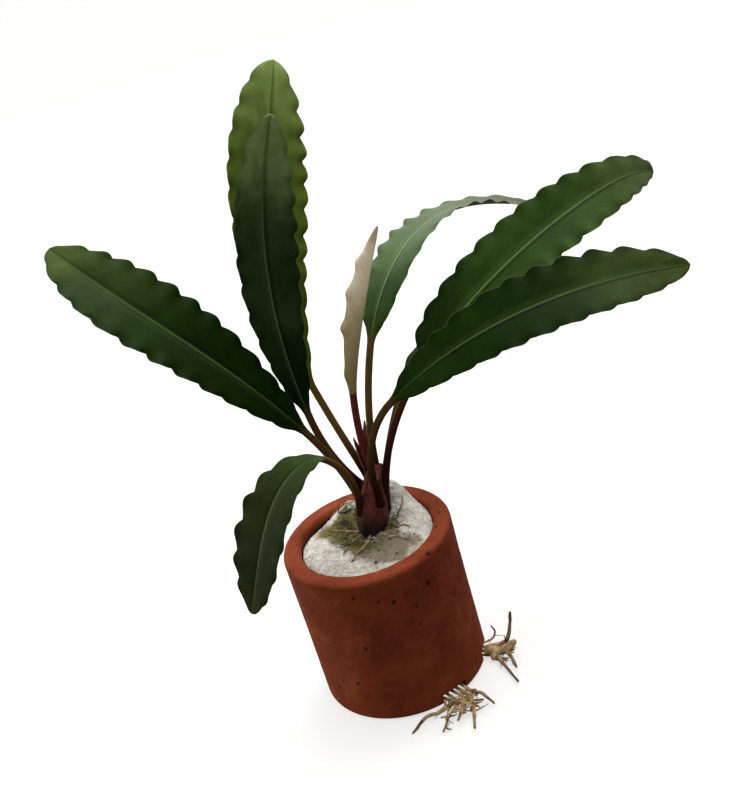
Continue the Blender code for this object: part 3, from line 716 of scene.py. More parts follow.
test_rings, _ = leaf_skin(LEAVES["leaf_left"], 1)
print("one leaf has", test_rings.shape[0], "rings of", test_rings.shape[1], "points")

# %% [markdown]
# ## Leaf finish
#
# A living leaf isn't one green. Its midrib is a thin pale line, with painted shade along one side of it
# and a faint painted highlight along the other; side veins show as faint lighter lines, painted shade
# darkens the margin and the back is dull. The stalk goes from near black at its foot through olive brown
# to the blade's green. All leaves share one recipe, and each gets its own greens: partly its own colour,
# which pales or browns with age, and partly painted light, lighter where a sheen or light through the
# blade shows.


# %% Leaf materials
RED_FOOT = (0.024, 0.004, 0.003)


def leaf_finish(name, base, middle, tip, rib, stalk_colour, gloss=0.10, rough=0.46):
    """A leaf material whose green shifts from the blade's base through its middle to its tip, partly its own
    colour and partly painted sheen and light through the blade.
    """
    material, tree, shader = new_material(name, Specular_IOR_Level=gloss,
                                          Specular_Tint=(0.55, 0.85, 0.38, 1.0))
    where = place_of(tree)
    a, c, stalk, upper = (read(tree, key) for key in ("along", "across", "stalk", "upper"))
    drift = noise(tree, where, 55.0, 3.0)
    # painted light: the greens along the blade are lighter where a sheen or light through the blade shows,
    # on top of the leaf's own colour
    shifted = math(tree, "ADD", a, math(tree, "MULTIPLY", math(tree, "SUBTRACT", drift, 0.5), 0.3))
    green = blend(tree, ramp(tree, shifted, 0.05, 0.50), base, middle)
    green = blend(tree, ramp(tree, shifted, 0.60, 1.02), green, tip)
    look = use_group(tree, mottle, Place=where, Patches=75.0, Grain=1300.0, Middle=green,
                     Dark=blend(tree, 1.0, green, (0.58, 0.62, 0.50), "MULTIPLY"),
                     Light=blend(tree, 1.0, green, (1.55, 1.45, 1.50), "MULTIPLY"))
    wobble = noise(tree, where, 160.0, 2.0)
    lines = use_group(tree, veins, Along=a, Across=c, Count=15.0, Jitter=wobble)
    fine = noise(tree, place_of(tree, (1.0, 1.0, 0.35)), 900.0, 3.0, 0.6)
    colour = blend(tree, math(tree, "MULTIPLY", lines["Side"], 0.025), look["Color"], rib)
    # painted shade: darkens the leaf's margin and one side of the groove beside the midrib
    shade = blend(tree, 1.0, look["Color"], (0.45, 0.50, 0.40), "MULTIPLY")
    colour = blend(tree, math(tree, "MULTIPLY", lines["Margin"], 0.55), colour, shade)
    rim = ramp(tree, math(tree, "ABSOLUTE", c), 0.965, 0.995)
    colour = blend(tree, math(tree, "MULTIPLY", rim, 0.75), colour, rib)
    beside = math(tree, "ADD", c, 0.06)
    groove = math(tree, "SUBTRACT", 1.0, ramp(tree, math(tree, "ABSOLUTE", beside), 0.03, 0.12))
    colour = blend(tree, math(tree, "MULTIPLY", groove, 0.85), colour, shade)
    # painted highlight: a faint pale line along the other side of the midrib
    beyond = math(tree, "ABSOLUTE", math(tree, "SUBTRACT", c, 0.10))
    painted_ridge_highlight = math(tree, "SUBTRACT", 1.0, ramp(tree, beyond, 0.03, 0.16))
    colour = blend(tree, math(tree, "MULTIPLY", painted_ridge_highlight, 0.12), colour, rib)
    back = math(tree, "MULTIPLY", math(tree, "SUBTRACT", 1.0, upper), 0.5)
    colour = blend(tree, back, colour, tuple(0.7 * x + 0.003 for x in middle))
    strong = math(tree, "SUBTRACT", 0.95, math(tree, "MULTIPLY", a, 0.35))
    colour = blend(tree, math(tree, "MULTIPLY", lines["Midrib"], strong), colour, rib)
    on_blade = ramp(tree, a, 0.0, 0.07)
    stem = blend(tree, ramp(tree, stalk, 0.10, 0.62), RED_FOOT, stalk_colour)
    streak = noise(tree, place_of(tree, (1.0, 1.0, 0.12)), 1600.0, 3.0, 0.6)
    dim_stalk = tuple(x * 0.45 for x in stalk_colour)
    stem = blend(tree, math(tree, "MULTIPLY", ramp(tree, streak, 0.45, 0.7), 0.55), stem, dim_stalk)
    tree.links.new(blend(tree, on_blade, stem, colour), shader.inputs["Base Color"])
    dull = math(tree, "MULTIPLY", math(tree, "SUBTRACT", 1.0, upper), 0.18)
    uneven = math(tree, "MULTIPLY", math(tree, "SUBTRACT", look["Patch"], 0.5), 0.28)
    spread = math(tree, "ADD", rough, uneven)
    tree.links.new(math(tree, "ADD", spread, dull, clamp=True), shader.inputs["Roughness"])
    height = math(tree, "MULTIPLY", look["Height"], 0.5)
    height = math(tree, "SUBTRACT", height, math(tree, "MULTIPLY", lines["Side"], 0.07))
    height = math(tree, "ADD", height, math(tree, "MULTIPLY", fine, 0.6))
    bump(tree, shader, height, 0.00010, 0.75)
    return material


print("the greens come from", leaf_finish.__name__)

# %% Finish of each leaf
OLIVE_STALK, RED_STALK, GOLD_STALK = (0.095, 0.050, 0.014), (0.055, 0.014, 0.007), (0.15, 0.085, 0.022)
# base, middle and tip of the blade (these greens include painted sheen and light through the blade), midrib,
# stalk
LEAF_FINISHES = {
    "leaf_left": leaf_finish("green_left", (0.004, 0.015, 0.001), (0.007, 0.022, 0.001),
                             (0.060, 0.100, 0.024), (0.058, 0.105, 0.028), OLIVE_STALK, 0.05),
    "leaf_upright": leaf_finish("green_upright", (0.003, 0.014, 0.002), (0.022, 0.045, 0.014),
                                (0.290, 0.420, 0.155), (0.09, 0.17, 0.070), OLIVE_STALK, 0.05),
    "leaf_tall": leaf_finish("green_tall", (0.085, 0.125, 0.006), (0.110, 0.165, 0.018),
                             (0.230, 0.330, 0.090), (0.25, 0.35, 0.09), GOLD_STALK),
    "leaf_drooping": leaf_finish("green_drooping", (0.034, 0.062, 0.015), (0.013, 0.017, 0.004),
                                 (0.022, 0.026, 0.006), (0.075, 0.105, 0.040), GOLD_STALK, 0.05),
    "leaf_arching": leaf_finish("green_arching", (0.018, 0.046, 0.006), (0.052, 0.098, 0.030),
                                (0.085, 0.078, 0.040), (0.19, 0.27, 0.12), GOLD_STALK, 0.45, 0.42),
    "leaf_upper_right": leaf_finish("green_upper_right", (0.006, 0.022, 0.001), (0.024, 0.056, 0.006),
                                    (0.095, 0.150, 0.044), (0.12, 0.20, 0.060), RED_STALK),
    "leaf_lower_right": leaf_finish("green_lower_right", (0.010, 0.030, 0.002), (0.005, 0.017, 0.001),
                                    (0.050, 0.076, 0.020), (0.062, 0.110, 0.030), OLIVE_STALK, 0.04),
    "leaf_hidden_right": leaf_finish("green_hidden", (0.008, 0.022, 0.002), (0.010, 0.028, 0.002),
                                     (0.030, 0.055, 0.012), (0.08, 0.14, 0.04), OLIVE_STALK),
}
print(len(LEAF_FINISHES), "leaf finishes")

# %% Grow the leaves
for number, (name, leaf) in enumerate(LEAVES.items()):
    rings, values = leaf_skin(leaf, number + 1.0)
    points, faces = skin(rings)
    add_piece(name + "_blade", points, faces, LEAF_FINISHES[name], [name], values)
print(len(LEAVES), "leaves grown")

# %% [markdown]
# ## New leaf and its red sheaths
#
# The youngest leaf is still rolled into a spear: one margin wraps over the other and ruffles where it
# comes free. Rings that spiral instead of closing on a circle give that overlap, with a real step along
# the spear. Two thin dark-red sheaths, which protected it in the bud, still hug its foot.

# %% Shape of the spear
place, forward, across, up, s, u = spine(NEW_LEAF, (0, 0, RHIZOME_TOP + 0.0003), 34, 150)
TURNS = 64
t = np.arange(TURNS) / (TURNS - 1)
core = STALK_RADIUS * (1 - 0.75 * u)
swell = NEW_LEAF[6] / 2 * np.maximum(np.sin(pi * u ** NEW_LEAF[7]), 0) ** 0.58
reach = np.sqrt(swell**2 + core**2) * (1 - 0.10 * smooth(0.5, 1, u))
on_blade = smooth(0.0, 0.08, u)[:, None]
distance = u * NEW_LEAF[5]
flutter = lumps(np.stack([distance, 0 * u, 0 * u], -1), 0.0030, 5)[:, None]
edge_turn = radians(8) + 0.22 * flutter * on_blade
RUFFLES = ((0.918, 0.030, 0.5), (0.789, 0.040, 1.0), (0.608, 0.045, 0.8), (0.409, 0.040, 1.0),
           (0.129, 0.045, 0.7))
ruffle = sum(size * np.exp(-(((u - where) / width) ** 2)) for where, width, size in RUFFLES)[:, None]
angle = edge_turn - 2 * pi * t[None] * (1 - 0.03 * on_blade)
wrap = 1 - 0.16 * on_blade * (1 - t[None])
near_edge = np.exp(-(((1 - t[None]) / 0.085) ** 2))
lift = on_blade * near_edge * (0.08 + 0.60 * ruffle + 0.12 * flutter) * smooth(1.0, 0.82, u)[:, None]
radius = reach[:, None] * (wrap + lift * 0.85)
crease = 1 - 0.05 * on_blade * np.sin(angle * 2 + distance[:, None] * 260)
x, y = radius * np.cos(angle), 0.74 * radius * crease * np.sin(angle)
rings = to_world(place[:, None] + across[:, None] * x[..., None] + up[:, None] * y[..., None])[:, ::-1]
spear_points, spear_faces = skin(rings)
spear_values = {"along": np.repeat(u, TURNS), "stalk": np.repeat(s, TURNS), "turn": np.tile(t[::-1], len(u)),
                "side": (np.cos(angle) + 0 * x)[:, ::-1]}
print("spear:", rings.shape[0], "rings of", rings.shape[1], "points")

# %% Finish of the spear
spear, spear_tree, spear_shader = new_material("rolled_leaf", Roughness=0.46, Specular_IOR_Level=0.25)
spear_place = place_of(spear_tree, (1.0, 1.0, 0.22))
spear_grain = noise(spear_tree, spear_place, 1500.0, 4.0, 0.6)
spear_drift = noise(spear_tree, place_of(spear_tree), 260.0, 3.0, 0.6)
spear_along = read(spear_tree, "along")
drifting = math(spear_tree, "MULTIPLY", math(spear_tree, "SUBTRACT", spear_drift, 0.5), 0.22)
wavering = math(spear_tree, "ADD", spear_along, drifting)
body = blend(spear_tree, ramp(spear_tree, wavering, 0.02, 0.45), (0.34, 0.265, 0.090), (0.66, 0.55, 0.30))
body = blend(spear_tree, ramp(spear_tree, wavering, 0.45, 0.75), body, (1.0, 0.90, 0.66))
body = blend(spear_tree, ramp(spear_tree, wavering, 0.86, 1.0), body, (0.19, 0.17, 0.075))
grey_side = math(spear_tree, "MULTIPLY", ramp(spear_tree, read(spear_tree, "side"), -0.35, -0.9), 0.45)
body = blend(spear_tree, grey_side, body, (0.42, 0.42, 0.28))
brown_grain = math(spear_tree, "MULTIPLY", ramp(spear_tree, spear_grain, 0.50, 0.68), 0.45)
body = blend(spear_tree, brown_grain, body, (0.46, 0.33, 0.17))
rolled_edge = ramp(spear_tree, read(spear_tree, "turn"), 0.965, 1.0)
body = blend(spear_tree, math(spear_tree, "MULTIPLY", rolled_edge, 0.5), body, (0.24, 0.15, 0.075))
red_stem = blend(spear_tree, ramp(spear_tree, spear_grain, 0.4, 0.7), (0.160, 0.022, 0.017),
                 (0.075, 0.011, 0.009))
body = blend(spear_tree, ramp(spear_tree, spear_along, 0.012, 0.035), red_stem, body)
spear_tree.links.new(body, spear_shader.inputs["Base Color"])
# painted glow: emission lights the upper spear from within, standing in for light through the young leaf
NO_GLOW, CREAM_GLOW = (0.0, 0.0, 0.0), (0.155, 0.122, 0.085)
painted_glow = blend(spear_tree, ramp(spear_tree, spear_along, 0.30, 0.85), NO_GLOW, CREAM_GLOW)
spear_tree.links.new(painted_glow, spear_shader.inputs["Emission Color"])
spear_shader.inputs["Emission Strength"].default_value = 1.0
bump(spear_tree, spear_shader, spear_grain, 0.00014, 0.8)
add_piece("rolled_new_leaf", spear_points, spear_faces, spear, ["new_leaf"], spear_values)
print("spear:", len(spear_points), "points")

# %% Red sheath finish
red, red_tree, red_shader = new_material("red_sheath", Specular_IOR_Level=0.4)
red_streak = noise(red_tree, place_of(red_tree, (1.0, 1.0, 0.10)), 2200.0, 3.0, 0.6)
red_colour = blend(red_tree, ramp(red_tree, red_streak, 0.35, 0.7), (0.070, 0.012, 0.009),
                   (0.210, 0.030, 0.024))
pale_edge = ramp(red_tree, math(red_tree, "ABSOLUTE", read(red_tree, "across")), 0.80, 0.97)
red_colour = blend(red_tree, math(red_tree, "MULTIPLY", pale_edge, 0.7), red_colour, (0.30, 0.12, 0.085))
red_colour = blend(red_tree, ramp(red_tree, read(red_tree, "along"), 0.45, 0.0), red_colour,
                   (0.007, 0.003, 0.003))
red_tree.links.new(red_colour, red_shader.inputs["Base Color"])
red_rough = math(red_tree, "ADD", 0.38, math(red_tree, "MULTIPLY", red_streak, 0.25))
red_tree.links.new(red_rough, red_shader.inputs["Roughness"])
bump(red_tree, red_shader, red_streak, 0.00012, 0.8)
print("sheath finish:", len(red_tree.nodes), "nodes")


# %% Sheaths
def round_stem(count, radius, turn):
    """Points round the spear's stem at its first stations, at these radii and turns."""
    aside = stem_across[:count, None] * (radius * np.cos(turn))[..., None]
    return stem_place[:count, None] + aside + stem_up[:count, None] * (radius * np.sin(turn))[..., None]


stem_place, _, stem_across, stem_up, _, _ = spine(NEW_LEAF, (0, 0, RHIZOME_TOP + 0.0003), 60, 6)
for name, facing, spread, length in (("sheath_left", 205, 62, 0.0165), ("sheath_right", 325, 50, 0.0125)):
    count = int(61 * length / NEW_LEAF[4])
    share = np.linspace(0, 1, count)
    fan = radians(spread) * 1.25 * (1 - 0.93 * share**2.2)
    middle = radians(facing - NEW_LEAF[0] + 90)
    w = np.linspace(-1, 1, 17)
    a = middle + fan[:, None] * w[None]
    inner = STALK_RADIUS + 0.00042 + 0.00060 * share[:, None] ** 2 + 0.00010 * np.abs(w[None]) ** 3
    outer = inner + 0.00026 * (1 - w[None] ** 4) + 0.00006
    rings = to_world(np.concatenate([round_stem(count, outer, a), round_stem(count, inner, a)[:, ::-1]], 1))
    points, faces = skin(rings)
    ring_w = np.concatenate([w, w[::-1]])
    add_piece(name + "_skin", points, faces, red, [name],
              {"along": np.repeat(share, 34), "across": np.tile(ring_w, count)})
    print(name, "has", count, "rings")

# %% Old leaf bases round the crown
levels = np.linspace(0, 1, 60)[:, None]
a = 2 * pi * np.arange(150)[None] / 150
ragged_top = 0.0162 + 0.0020 * np.cos(3 * a + 0.6) + 0.0014 * np.cos(7 * a)
rise = -0.0012 + (ragged_top + 0.0012) * levels
ribs = 1 + 0.060 * np.abs(np.cos(4 * a + 1.1 * levels)) + 0.03 * np.cos(5 * a - 2.0 * levels)
belly = 0.0034 + 0.0009 * smooth(0.0, 0.33, levels) - 0.0019 * smooth(0.48, 1.0, levels)
r = belly * ribs * np.where(levels > 0.95, 1 - (levels - 0.95) * 6, 1)
rings = to_world(np.stack([r * np.cos(a), r * np.sin(a), rise], -1))
points, faces = skin(rings)
add_piece("old_leaf_bases", points, faces, red, (),
          {"along": np.repeat(0.90 * levels[:, 0] ** 1.3, 150), "across": np.zeros(len(points))})
print("old leaf bases:", len(points), "points")

# %% [markdown]
# ## Rhizome
#
# The creeping stem is nearly black where it sits in the wool, ringed by the scars of old leaves, and
# reddish towards the growing tip. Rings of changing radius, with a scar line pressed in at each, make
# it from the same centre line as the solid one.

# %% Shape of the rhizome
height = np.linspace(-0.0122, RHIZOME_TOP - 0.0001, 130)
ends = np.sqrt(np.clip(1 - ((height - np.clip(height, -0.0108, RHIZOME_TOP - 0.0009)) / 0.0015) ** 2, 0.02,
                       1))
thick = (RHIZOME_RADIUS + (RHIZOME_TOP_RADIUS - RHIZOME_RADIUS) * np.clip(height / RHIZOME_TOP, 0, 1)) * ends
a = 2 * pi * np.arange(72) / 72
scar_beat = (height[:, None] + 0.0006 * np.sin(a * 2 + 1)[None] + 0.0004 * np.sin(3 * a)[None]) / 0.0021
scar = np.exp(-(((scar_beat % 1) - 0.5) / 0.11) ** 2)
ring_points = np.stack([np.cos(a)[None] + 0 * scar, np.sin(a)[None] + 0 * scar,
                        height[:, None] / 0.003 + 0 * scar], -1)
r = thick[:, None] * (0.985 - 0.085 * scar + 0.05 * lumps(ring_points, 0.45, 4))
rings = to_world(np.stack([r * np.cos(a), r * np.sin(a), height[:, None] + 0 * r], -1))
stem_points, stem_faces = skin(rings)
print("rhizome:", rings.shape[0], "rings, thickest", round(r.max() * 1000, 2), "mm")

# %% Finish of the rhizome
stem, stem_tree, stem_shader = new_material("creeping_stem", Specular_IOR_Level=0.35)
stem_look = use_group(stem_tree, mottle, Place=place_of(stem_tree), Patches=420.0, Grain=2600.0,
                      Dark=(0.006, 0.004, 0.003), Middle=(0.016, 0.008, 0.005), Light=(0.060, 0.028, 0.014))
upwards = ramp(stem_tree, read(stem_tree, "height"), 0.45, 1.0)
stem_colour = blend(stem_tree, upwards, stem_look["Color"], (0.050, 0.010, 0.008))
scarred = math(stem_tree, "MULTIPLY", read(stem_tree, "scar"), 0.6)
stem_colour = blend(stem_tree, scarred, stem_colour, (0.004, 0.003, 0.002))
stem_tree.links.new(stem_colour, stem_shader.inputs["Base Color"])
stem_rough = math(stem_tree, "ADD", 0.45, math(stem_tree, "MULTIPLY", stem_look["Patch"], 0.3))
stem_tree.links.new(stem_rough, stem_shader.inputs["Roughness"])
bump(stem_tree, stem_shader, stem_look["Height"], 0.00025, 0.9)
add_piece("ringed_rhizome", stem_points, stem_faces, stem, ["rhizome"],
          {"height": np.repeat(np.clip(height / RHIZOME_TOP, 0, 1), 72), "scar": scar})
print("rhizome finish:", len(stem_tree.nodes), "nodes")

# %% [markdown]
# ## Mineral wool
#
# The wool is spun rock fibre, packed round the roots as a loose felt. It is greyish white, stained
# brown and moss green near the crown, darkened by painted shade round the crown, and pulled up into puffs
# by the planter's fingers. The solid wool keeps its place below; a fine felt skin over it carries the lumps,
# and loose fibres stand on it.

# %% Height of the wool and its felt
WOOL_LUMPS = (
    (0.0095, 0.0120, 0.0042, 0.0085), (-0.0022, 0.0138, 0.0034, 0.0040), (0.0135, 0.0010, 0.0045, 0.0028),
    (-0.0090, -0.0080, 0.0042, 0.0024), (0.0040, -0.0110, 0.0050, 0.0008), (-0.0140, 0.0040, 0.0045, 0.0010),
    (-0.0135, -0.0030, 0.0036, 0.0018),
)
WOOL_TOP, WOOL_RADIUS = 0.0412, BORE - 0.0003


def wool_level(x, y):
    """Height of the wool's upper face."""
    level = WOOL_TOP - 0.0012 * (np.hypot(x, y) / WOOL_RADIUS) ** 6
    for cx, cy, width, rise in WOOL_LUMPS:
        level = level + rise * np.exp(-((x - cx) ** 2 + (y - cy) ** 2) / (2 * width**2))
    return level


def felt_level(x, y):
    """Height of the felt: the wool's face with tufts and tangled threads on it."""
    spot = np.stack([x, y, 0 * x], -1)
    bent = spot + 0.0012 * np.stack([lumps(spot, 0.003, 11), lumps(spot, 0.003, 12), 0 * x], -1)
    threads = 1 - np.abs(lumps(bent * [1, 0.4, 1], 0.0009, 13))
    threads2 = 1 - np.abs(lumps(bent * [0.4, 1, 1], 0.0008, 14))
    tufts = 0.5 + 0.5 * lumps(spot, 0.0034, 15)
    puff = 0.00050 * tufts + 0.00042 * np.maximum(threads, threads2) ** 3 + 0.00018 * lumps(bent, 0.0004, 16)
    return wool_level(x, y) + 0.00038 + puff


print("the wool rises to", round(float(wool_level(np.array([0.0095]), np.array([0.012]))[0]), 4))

# %% Felt surface
rows, around = 104, 300
r = WOOL_RADIUS * (np.arange(1, rows + 1) / rows) ** 0.9
a = 2 * pi * np.arange(around) / around
x, y = r[:, None] * np.cos(a), r[:, None] * np.sin(a)
z = felt_level(x, y)
SKIRT_DROPS = (0.0008, 0.0018, 0.0034)
edge = [np.stack([x[-1] * 0.998, y[-1] * 0.998, z[-1] - drop], -1) for drop in SKIRT_DROPS]
inner = [np.stack([x[k] * 0.985, y[k] * 0.985, wool_level(x[k], y[k]) - 0.0008], -1) for k in (-1, -30, -80)]
rings = np.concatenate([np.stack([x, y, z], -1), edge, inner])
felt_points, felt_faces = skin(rings[::-1])
print("felt:", len(felt_points), "points")

# %% Stains and painted shade
# place and size of each stained or shaded patch on the wool, and how much moss, soil and painted shade each
# brings
STAINS_AND_SHADE = (
    (0.0020, 0.0032, 0.0052, 0.2, 0.9, 1.0), (-0.0045, 0.0095, 0.0040, 0.9, 0.3, 0.3),
    (-0.0060, 0.0040, 0.0032, 0.8, 0.5, 0.3), (-0.0020, 0.0140, 0.0030, 0.4, 0.6, 0.3),
    (-0.0105, 0.0070, 0.0036, 0.2, 0.8, 0.2), (-0.0030, -0.0035, 0.0040, 0.5, 0.7, 0.2),
    (0.0020, -0.0070, 0.0042, 0.1, 0.9, 0.1), (0.0060, -0.0040, 0.0032, 0.3, 0.7, 0.3),
    (0.0090, 0.0080, 0.0024, 0.5, 0.3, 0.1), (-0.0050, -0.0030, 0.0030, 0.5, 0.7, 0.1),
    (0.0060, -0.0115, 0.0036, 0.0, 0.8, 0.0), (0.0070, 0.0015, 0.0030, 0.3, 0.6, 0.4),
    (0.0008, -0.0060, 0.0046, 0.2, 1.0, 0.3), (-0.0030, -0.0065, 0.0030, 0.3, 0.7, 0.2),
    (0.0030, -0.0105, 0.0062, 0.1, 0.75, 0.1), (0.0105, -0.0080, 0.0036, 0.1, 0.7, 0.0),
    (0.0045, -0.0080, 0.0040, 0.1, 0.7, 0.1), (-0.0100, 0.0110, 0.0030, 0.1, 0.7, 0.2),
    (-0.0070, 0.0070, 0.0040, 1.0, 0.3, 0.1), (-0.0075, 0.0010, 0.0028, 0.9, 0.2, 0.1),
)


def stains_and_shade_at(points):
    """Moss, soil and painted shade at each point of the felt."""
    found = np.zeros((len(points), 3))
    ragged = 1 + 0.45 * lumps(points, 0.0022, 21) + 0.25 * lumps(points, 0.0008, 22)
    for sx, sy, size, *parts in STAINS_AND_SHADE:
        near = np.exp(-(((points[:, 0] - sx) ** 2 + (points[:, 1] - sy) ** 2) / size**2)) * ragged
        found = 1 - (1 - found) * (1 - np.clip(near, 0, 1)[:, None] * np.array(parts))
    return found


wool_values = dict(zip(("moss", "soil", "shade"), stains_and_shade_at(felt_points).T))
print("darkest stains:", {key: round(float(amount.max()), 2) for key, amount in wool_values.items()})

# %% Wool finish
wool, wool_tree, wool_shader = new_material("mineral_wool", Roughness=0.95, Specular_IOR_Level=0.25)
wool_place = place_of(wool_tree)
wool_look = use_group(wool_tree, mottle, Place=wool_place, Patches=330.0, Grain=2600.0,
                      Dark=(0.64, 0.60, 0.51), Middle=(0.80, 0.77, 0.69), Light=(0.93, 0.92, 0.87))
thread_a = noise(wool_tree, place_of(wool_tree, (1.0, 0.18, 0.5)), 3300.0, 2.0, 0.5, 0.6)
thread_b = noise(wool_tree, place_of(wool_tree, (0.18, 1.0, 0.5)), 3100.0, 2.0, 0.5, 0.6)
threads = math(wool_tree, "MAXIMUM", thread_a, thread_b)
bright_thread = math(wool_tree, "MULTIPLY", ramp(wool_tree, threads, 0.52, 0.70), 0.5)
wool_colour = blend(wool_tree, bright_thread, wool_look["Color"], (0.85, 0.84, 0.79))
wool_colour = blend(wool_tree, ramp(wool_tree, threads, 0.47, 0.36), wool_colour, (0.46, 0.42, 0.33))
ragged = noise(wool_tree, wool_place, 900.0, 3.0, 0.6)
# the shade tint is painted shade, darkest round the foot of the crown
WOOL_TINTS = {"soil": ((0.165, 0.120, 0.060), 0.18, 0.85), "moss": ((0.150, 0.135, 0.028), 0.22, 0.80),
              "shade": ((0.012, 0.009, 0.005), 0.45, 1.0)}
frayed = math(wool_tree, "MULTIPLY", math(wool_tree, "SUBTRACT", ragged, 0.5), 0.5)
for key, (tint, low, high) in WOOL_TINTS.items():
    amount = ramp(wool_tree, math(wool_tree, "ADD", read(wool_tree, key), frayed), low, high)
    wool_colour = blend(wool_tree, math(wool_tree, "MULTIPLY", amount, 0.88), wool_colour, tint)
wool_tree.links.new(wool_colour, wool_shader.inputs["Base Color"])
bump(wool_tree, wool_shader, threads, 0.00022, 0.9)
add_piece("wool_felt", felt_points, felt_faces, wool, (), wool_values)
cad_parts["rock_wool"].material_slots[0].material = wool
print("wool finish:", len(wool_tree.nodes), "nodes")

# %% [markdown]
# ## Loose fibres, moss and bits of soil
#
# Up close the wool's edge is never clean: single glass-like fibres stand off it, strands of moss and
# old root lie across it, and black crumbs stick to it. Thin curved tubes give each of these a real
# outline, which a bump can't do. All of them start from one seeded random source.


# %% Strands that lie on the wool
def strand_paths(starts, ways, lengths, steps=8, curl=0.5, lift=0.0003, arch=0.0):
    """Curved paths over the wool from each start, in the direction of ways, at a height above the felt."""
    share = np.linspace(0, 1, steps)
    bend = rng.normal(0, curl, len(starts))[:, None]
    heading = np.asarray(ways)[:, None] + bend * share[None]
    step = np.asarray(lengths)[:, None] / (steps - 1)
    x = starts[:, 0, None] + np.cumsum(np.cos(heading) * step, 1)
    y = starts[:, 1, None] + np.cumsum(np.sin(heading) * step, 1)
    out = np.hypot(x, y)
    keep = np.minimum(1, (WOOL_RADIUS - 0.0005) / np.maximum(out, 1e-9))
    x, y = x * keep, y * keep
    bow = arch * np.sin(pi * share)[None] * rng.uniform(0.2, 1, len(starts))[:, None]
    return np.stack([x, y, felt_level(x, y) + lift + bow], -1)


def thread_finish(name, dark, light, rough=0.7):
    """A finish for thin strands that vary from one to the next."""
    material, tree, shader = new_material(name, Roughness=rough, Specular_IOR_Level=0.4)
    drift = noise(tree, place_of(tree), 420.0, 3.0, 0.6)
    tree.links.new(blend(tree, ramp(tree, drift, 0.35, 0.65), dark, light), shader.inputs["Base Color"])
    bump(tree, shader, noise(tree, place_of(tree), 4000.0, 2.0), 0.00005, 0.5)
    return material


print("thread finish ready")

# %% Loose white fibres
white_fibre = thread_finish("white_fibre", (0.62, 0.60, 0.54), (0.92, 0.91, 0.88), 0.5)
count = 1500
r = WOOL_RADIUS * 0.985 * np.sqrt(rng.uniform(0.02, 1, count))
a = rng.uniform(0, 2 * pi, count)
starts = np.stack([r * np.cos(a), r * np.sin(a)], -1)
clean = stains_and_shade_at(np.c_[starts, np.zeros(count)]).max(1) < rng.uniform(0.02, 0.7, count)
starts = starts[clean]
ways = rng.uniform(0, 2 * pi, len(starts))
paths = strand_paths(starts, ways, rng.uniform(0.0012, 0.0042, len(starts)), 8, 0.9, -0.00002, 0.0007)
radii = rng.uniform(0.000020, 0.000040, len(starts))[:, None] * np.linspace(1, 0.6, 8)[None]
points, faces = tubes(paths, radii, 3)
add_piece("loose_fibres", points, faces, white_fibre)
print(len(starts), "white fibres")

# %% Moss strands
moss = thread_finish("moss_strand", (0.040, 0.036, 0.010), (0.260, 0.220, 0.065))
count = 170
a = np.concatenate([rng.normal(radians(150), 0.75, count - 60), rng.uniform(0, 2 * pi, 60)])
r = rng.uniform(0.0032, 0.0072, count)
starts = np.stack([CROWN[0] + r * np.cos(a), CROWN[1] + r * np.sin(a)], -1)
ways = a + rng.normal(0.35, 0.5, count)
paths = strand_paths(starts, ways, rng.uniform(0.002, 0.0065, count), 10, 0.9, 0.00004, 0.0006)
radii = rng.uniform(0.00007, 0.00019, count)[:, None] * np.linspace(1, 0.35, 10)[None]
points, faces = tubes(paths, radii, 5)
add_piece("moss_strands", points, faces, moss)
print(count, "moss strands")

# %% Soil crumbs
soil = thread_finish("black_soil", (0.006, 0.005, 0.003), (0.035, 0.024, 0.013), 0.8)
crumbs, crumb_faces = [], []
LONE_CRUMBS = [(0.0058, -0.0119), (0.0079, 0.0158)]
spots = np.concatenate([rng.normal(CROWN, 0.0034, (60, 2)),
                        rng.normal((0.002, -0.002), 0.0050, (22, 2)), LONE_CRUMBS])
shape_maker = bmesh.new()
bmesh.ops.create_icosphere(shape_maker, subdivisions=2, radius=1)
crumb_shape = np.array([v.co for v in shape_maker.verts])
crumb_sides = [[v.index for v in f.verts] for f in shape_maker.faces]
shape_maker.free()
for spot in spots:
    if np.hypot(*spot) > WOOL_RADIUS - 0.0012:
        continue
    size = rng.uniform(0.00012, 0.00042) * rng.uniform(0.6, 1.5, 3)
    base = np.array([spot[0], spot[1], float(felt_level(spot[:1], spot[1:])[0]) + 0.00002])
    bumpy = crumb_shape * (1 + 0.35 * lumps(crumb_shape, 0.7, float(spot[0] * 1e4)))[:, None]
    crumb_faces += [[i + len(crumbs) * len(crumb_shape) for i in f] for f in crumb_sides]
    crumbs.append(base + bumpy * size)
add_piece("soil_crumbs", np.concatenate(crumbs), crumb_faces, soil)
print(len(crumbs), "crumbs")

# %% A curled black scrap
loop = np.linspace(0, 1.5 * pi, 20)
curl_x, curl_y = -0.0034 + 0.0019 * np.cos(loop + 0.6), 0.0122 - 0.0013 * np.sin(loop + 0.6)
curl_z = felt_level(curl_x, curl_y) + 0.00035 + 0.0005 * np.sin(loop / 1.5)
curl = np.stack([curl_x, curl_y, curl_z], -1)
points, faces = tubes(curl[None], np.full((1, 20), 0.00022) * np.linspace(1, 0.5, 20), 7)
add_piece("black_curl", points, faces, soil)
print("one curled scrap of", len(points), "points")

# %% [markdown]
# ## Roots
#
# Pale tan roots creep over the wool from the crown, and others run down through it and out of the
# drain slots, where they lie in short broken tangles against the foot of the pot. Each follows its
# solid root's route, but swells, pinches and kinks, and carries finer rootlets.


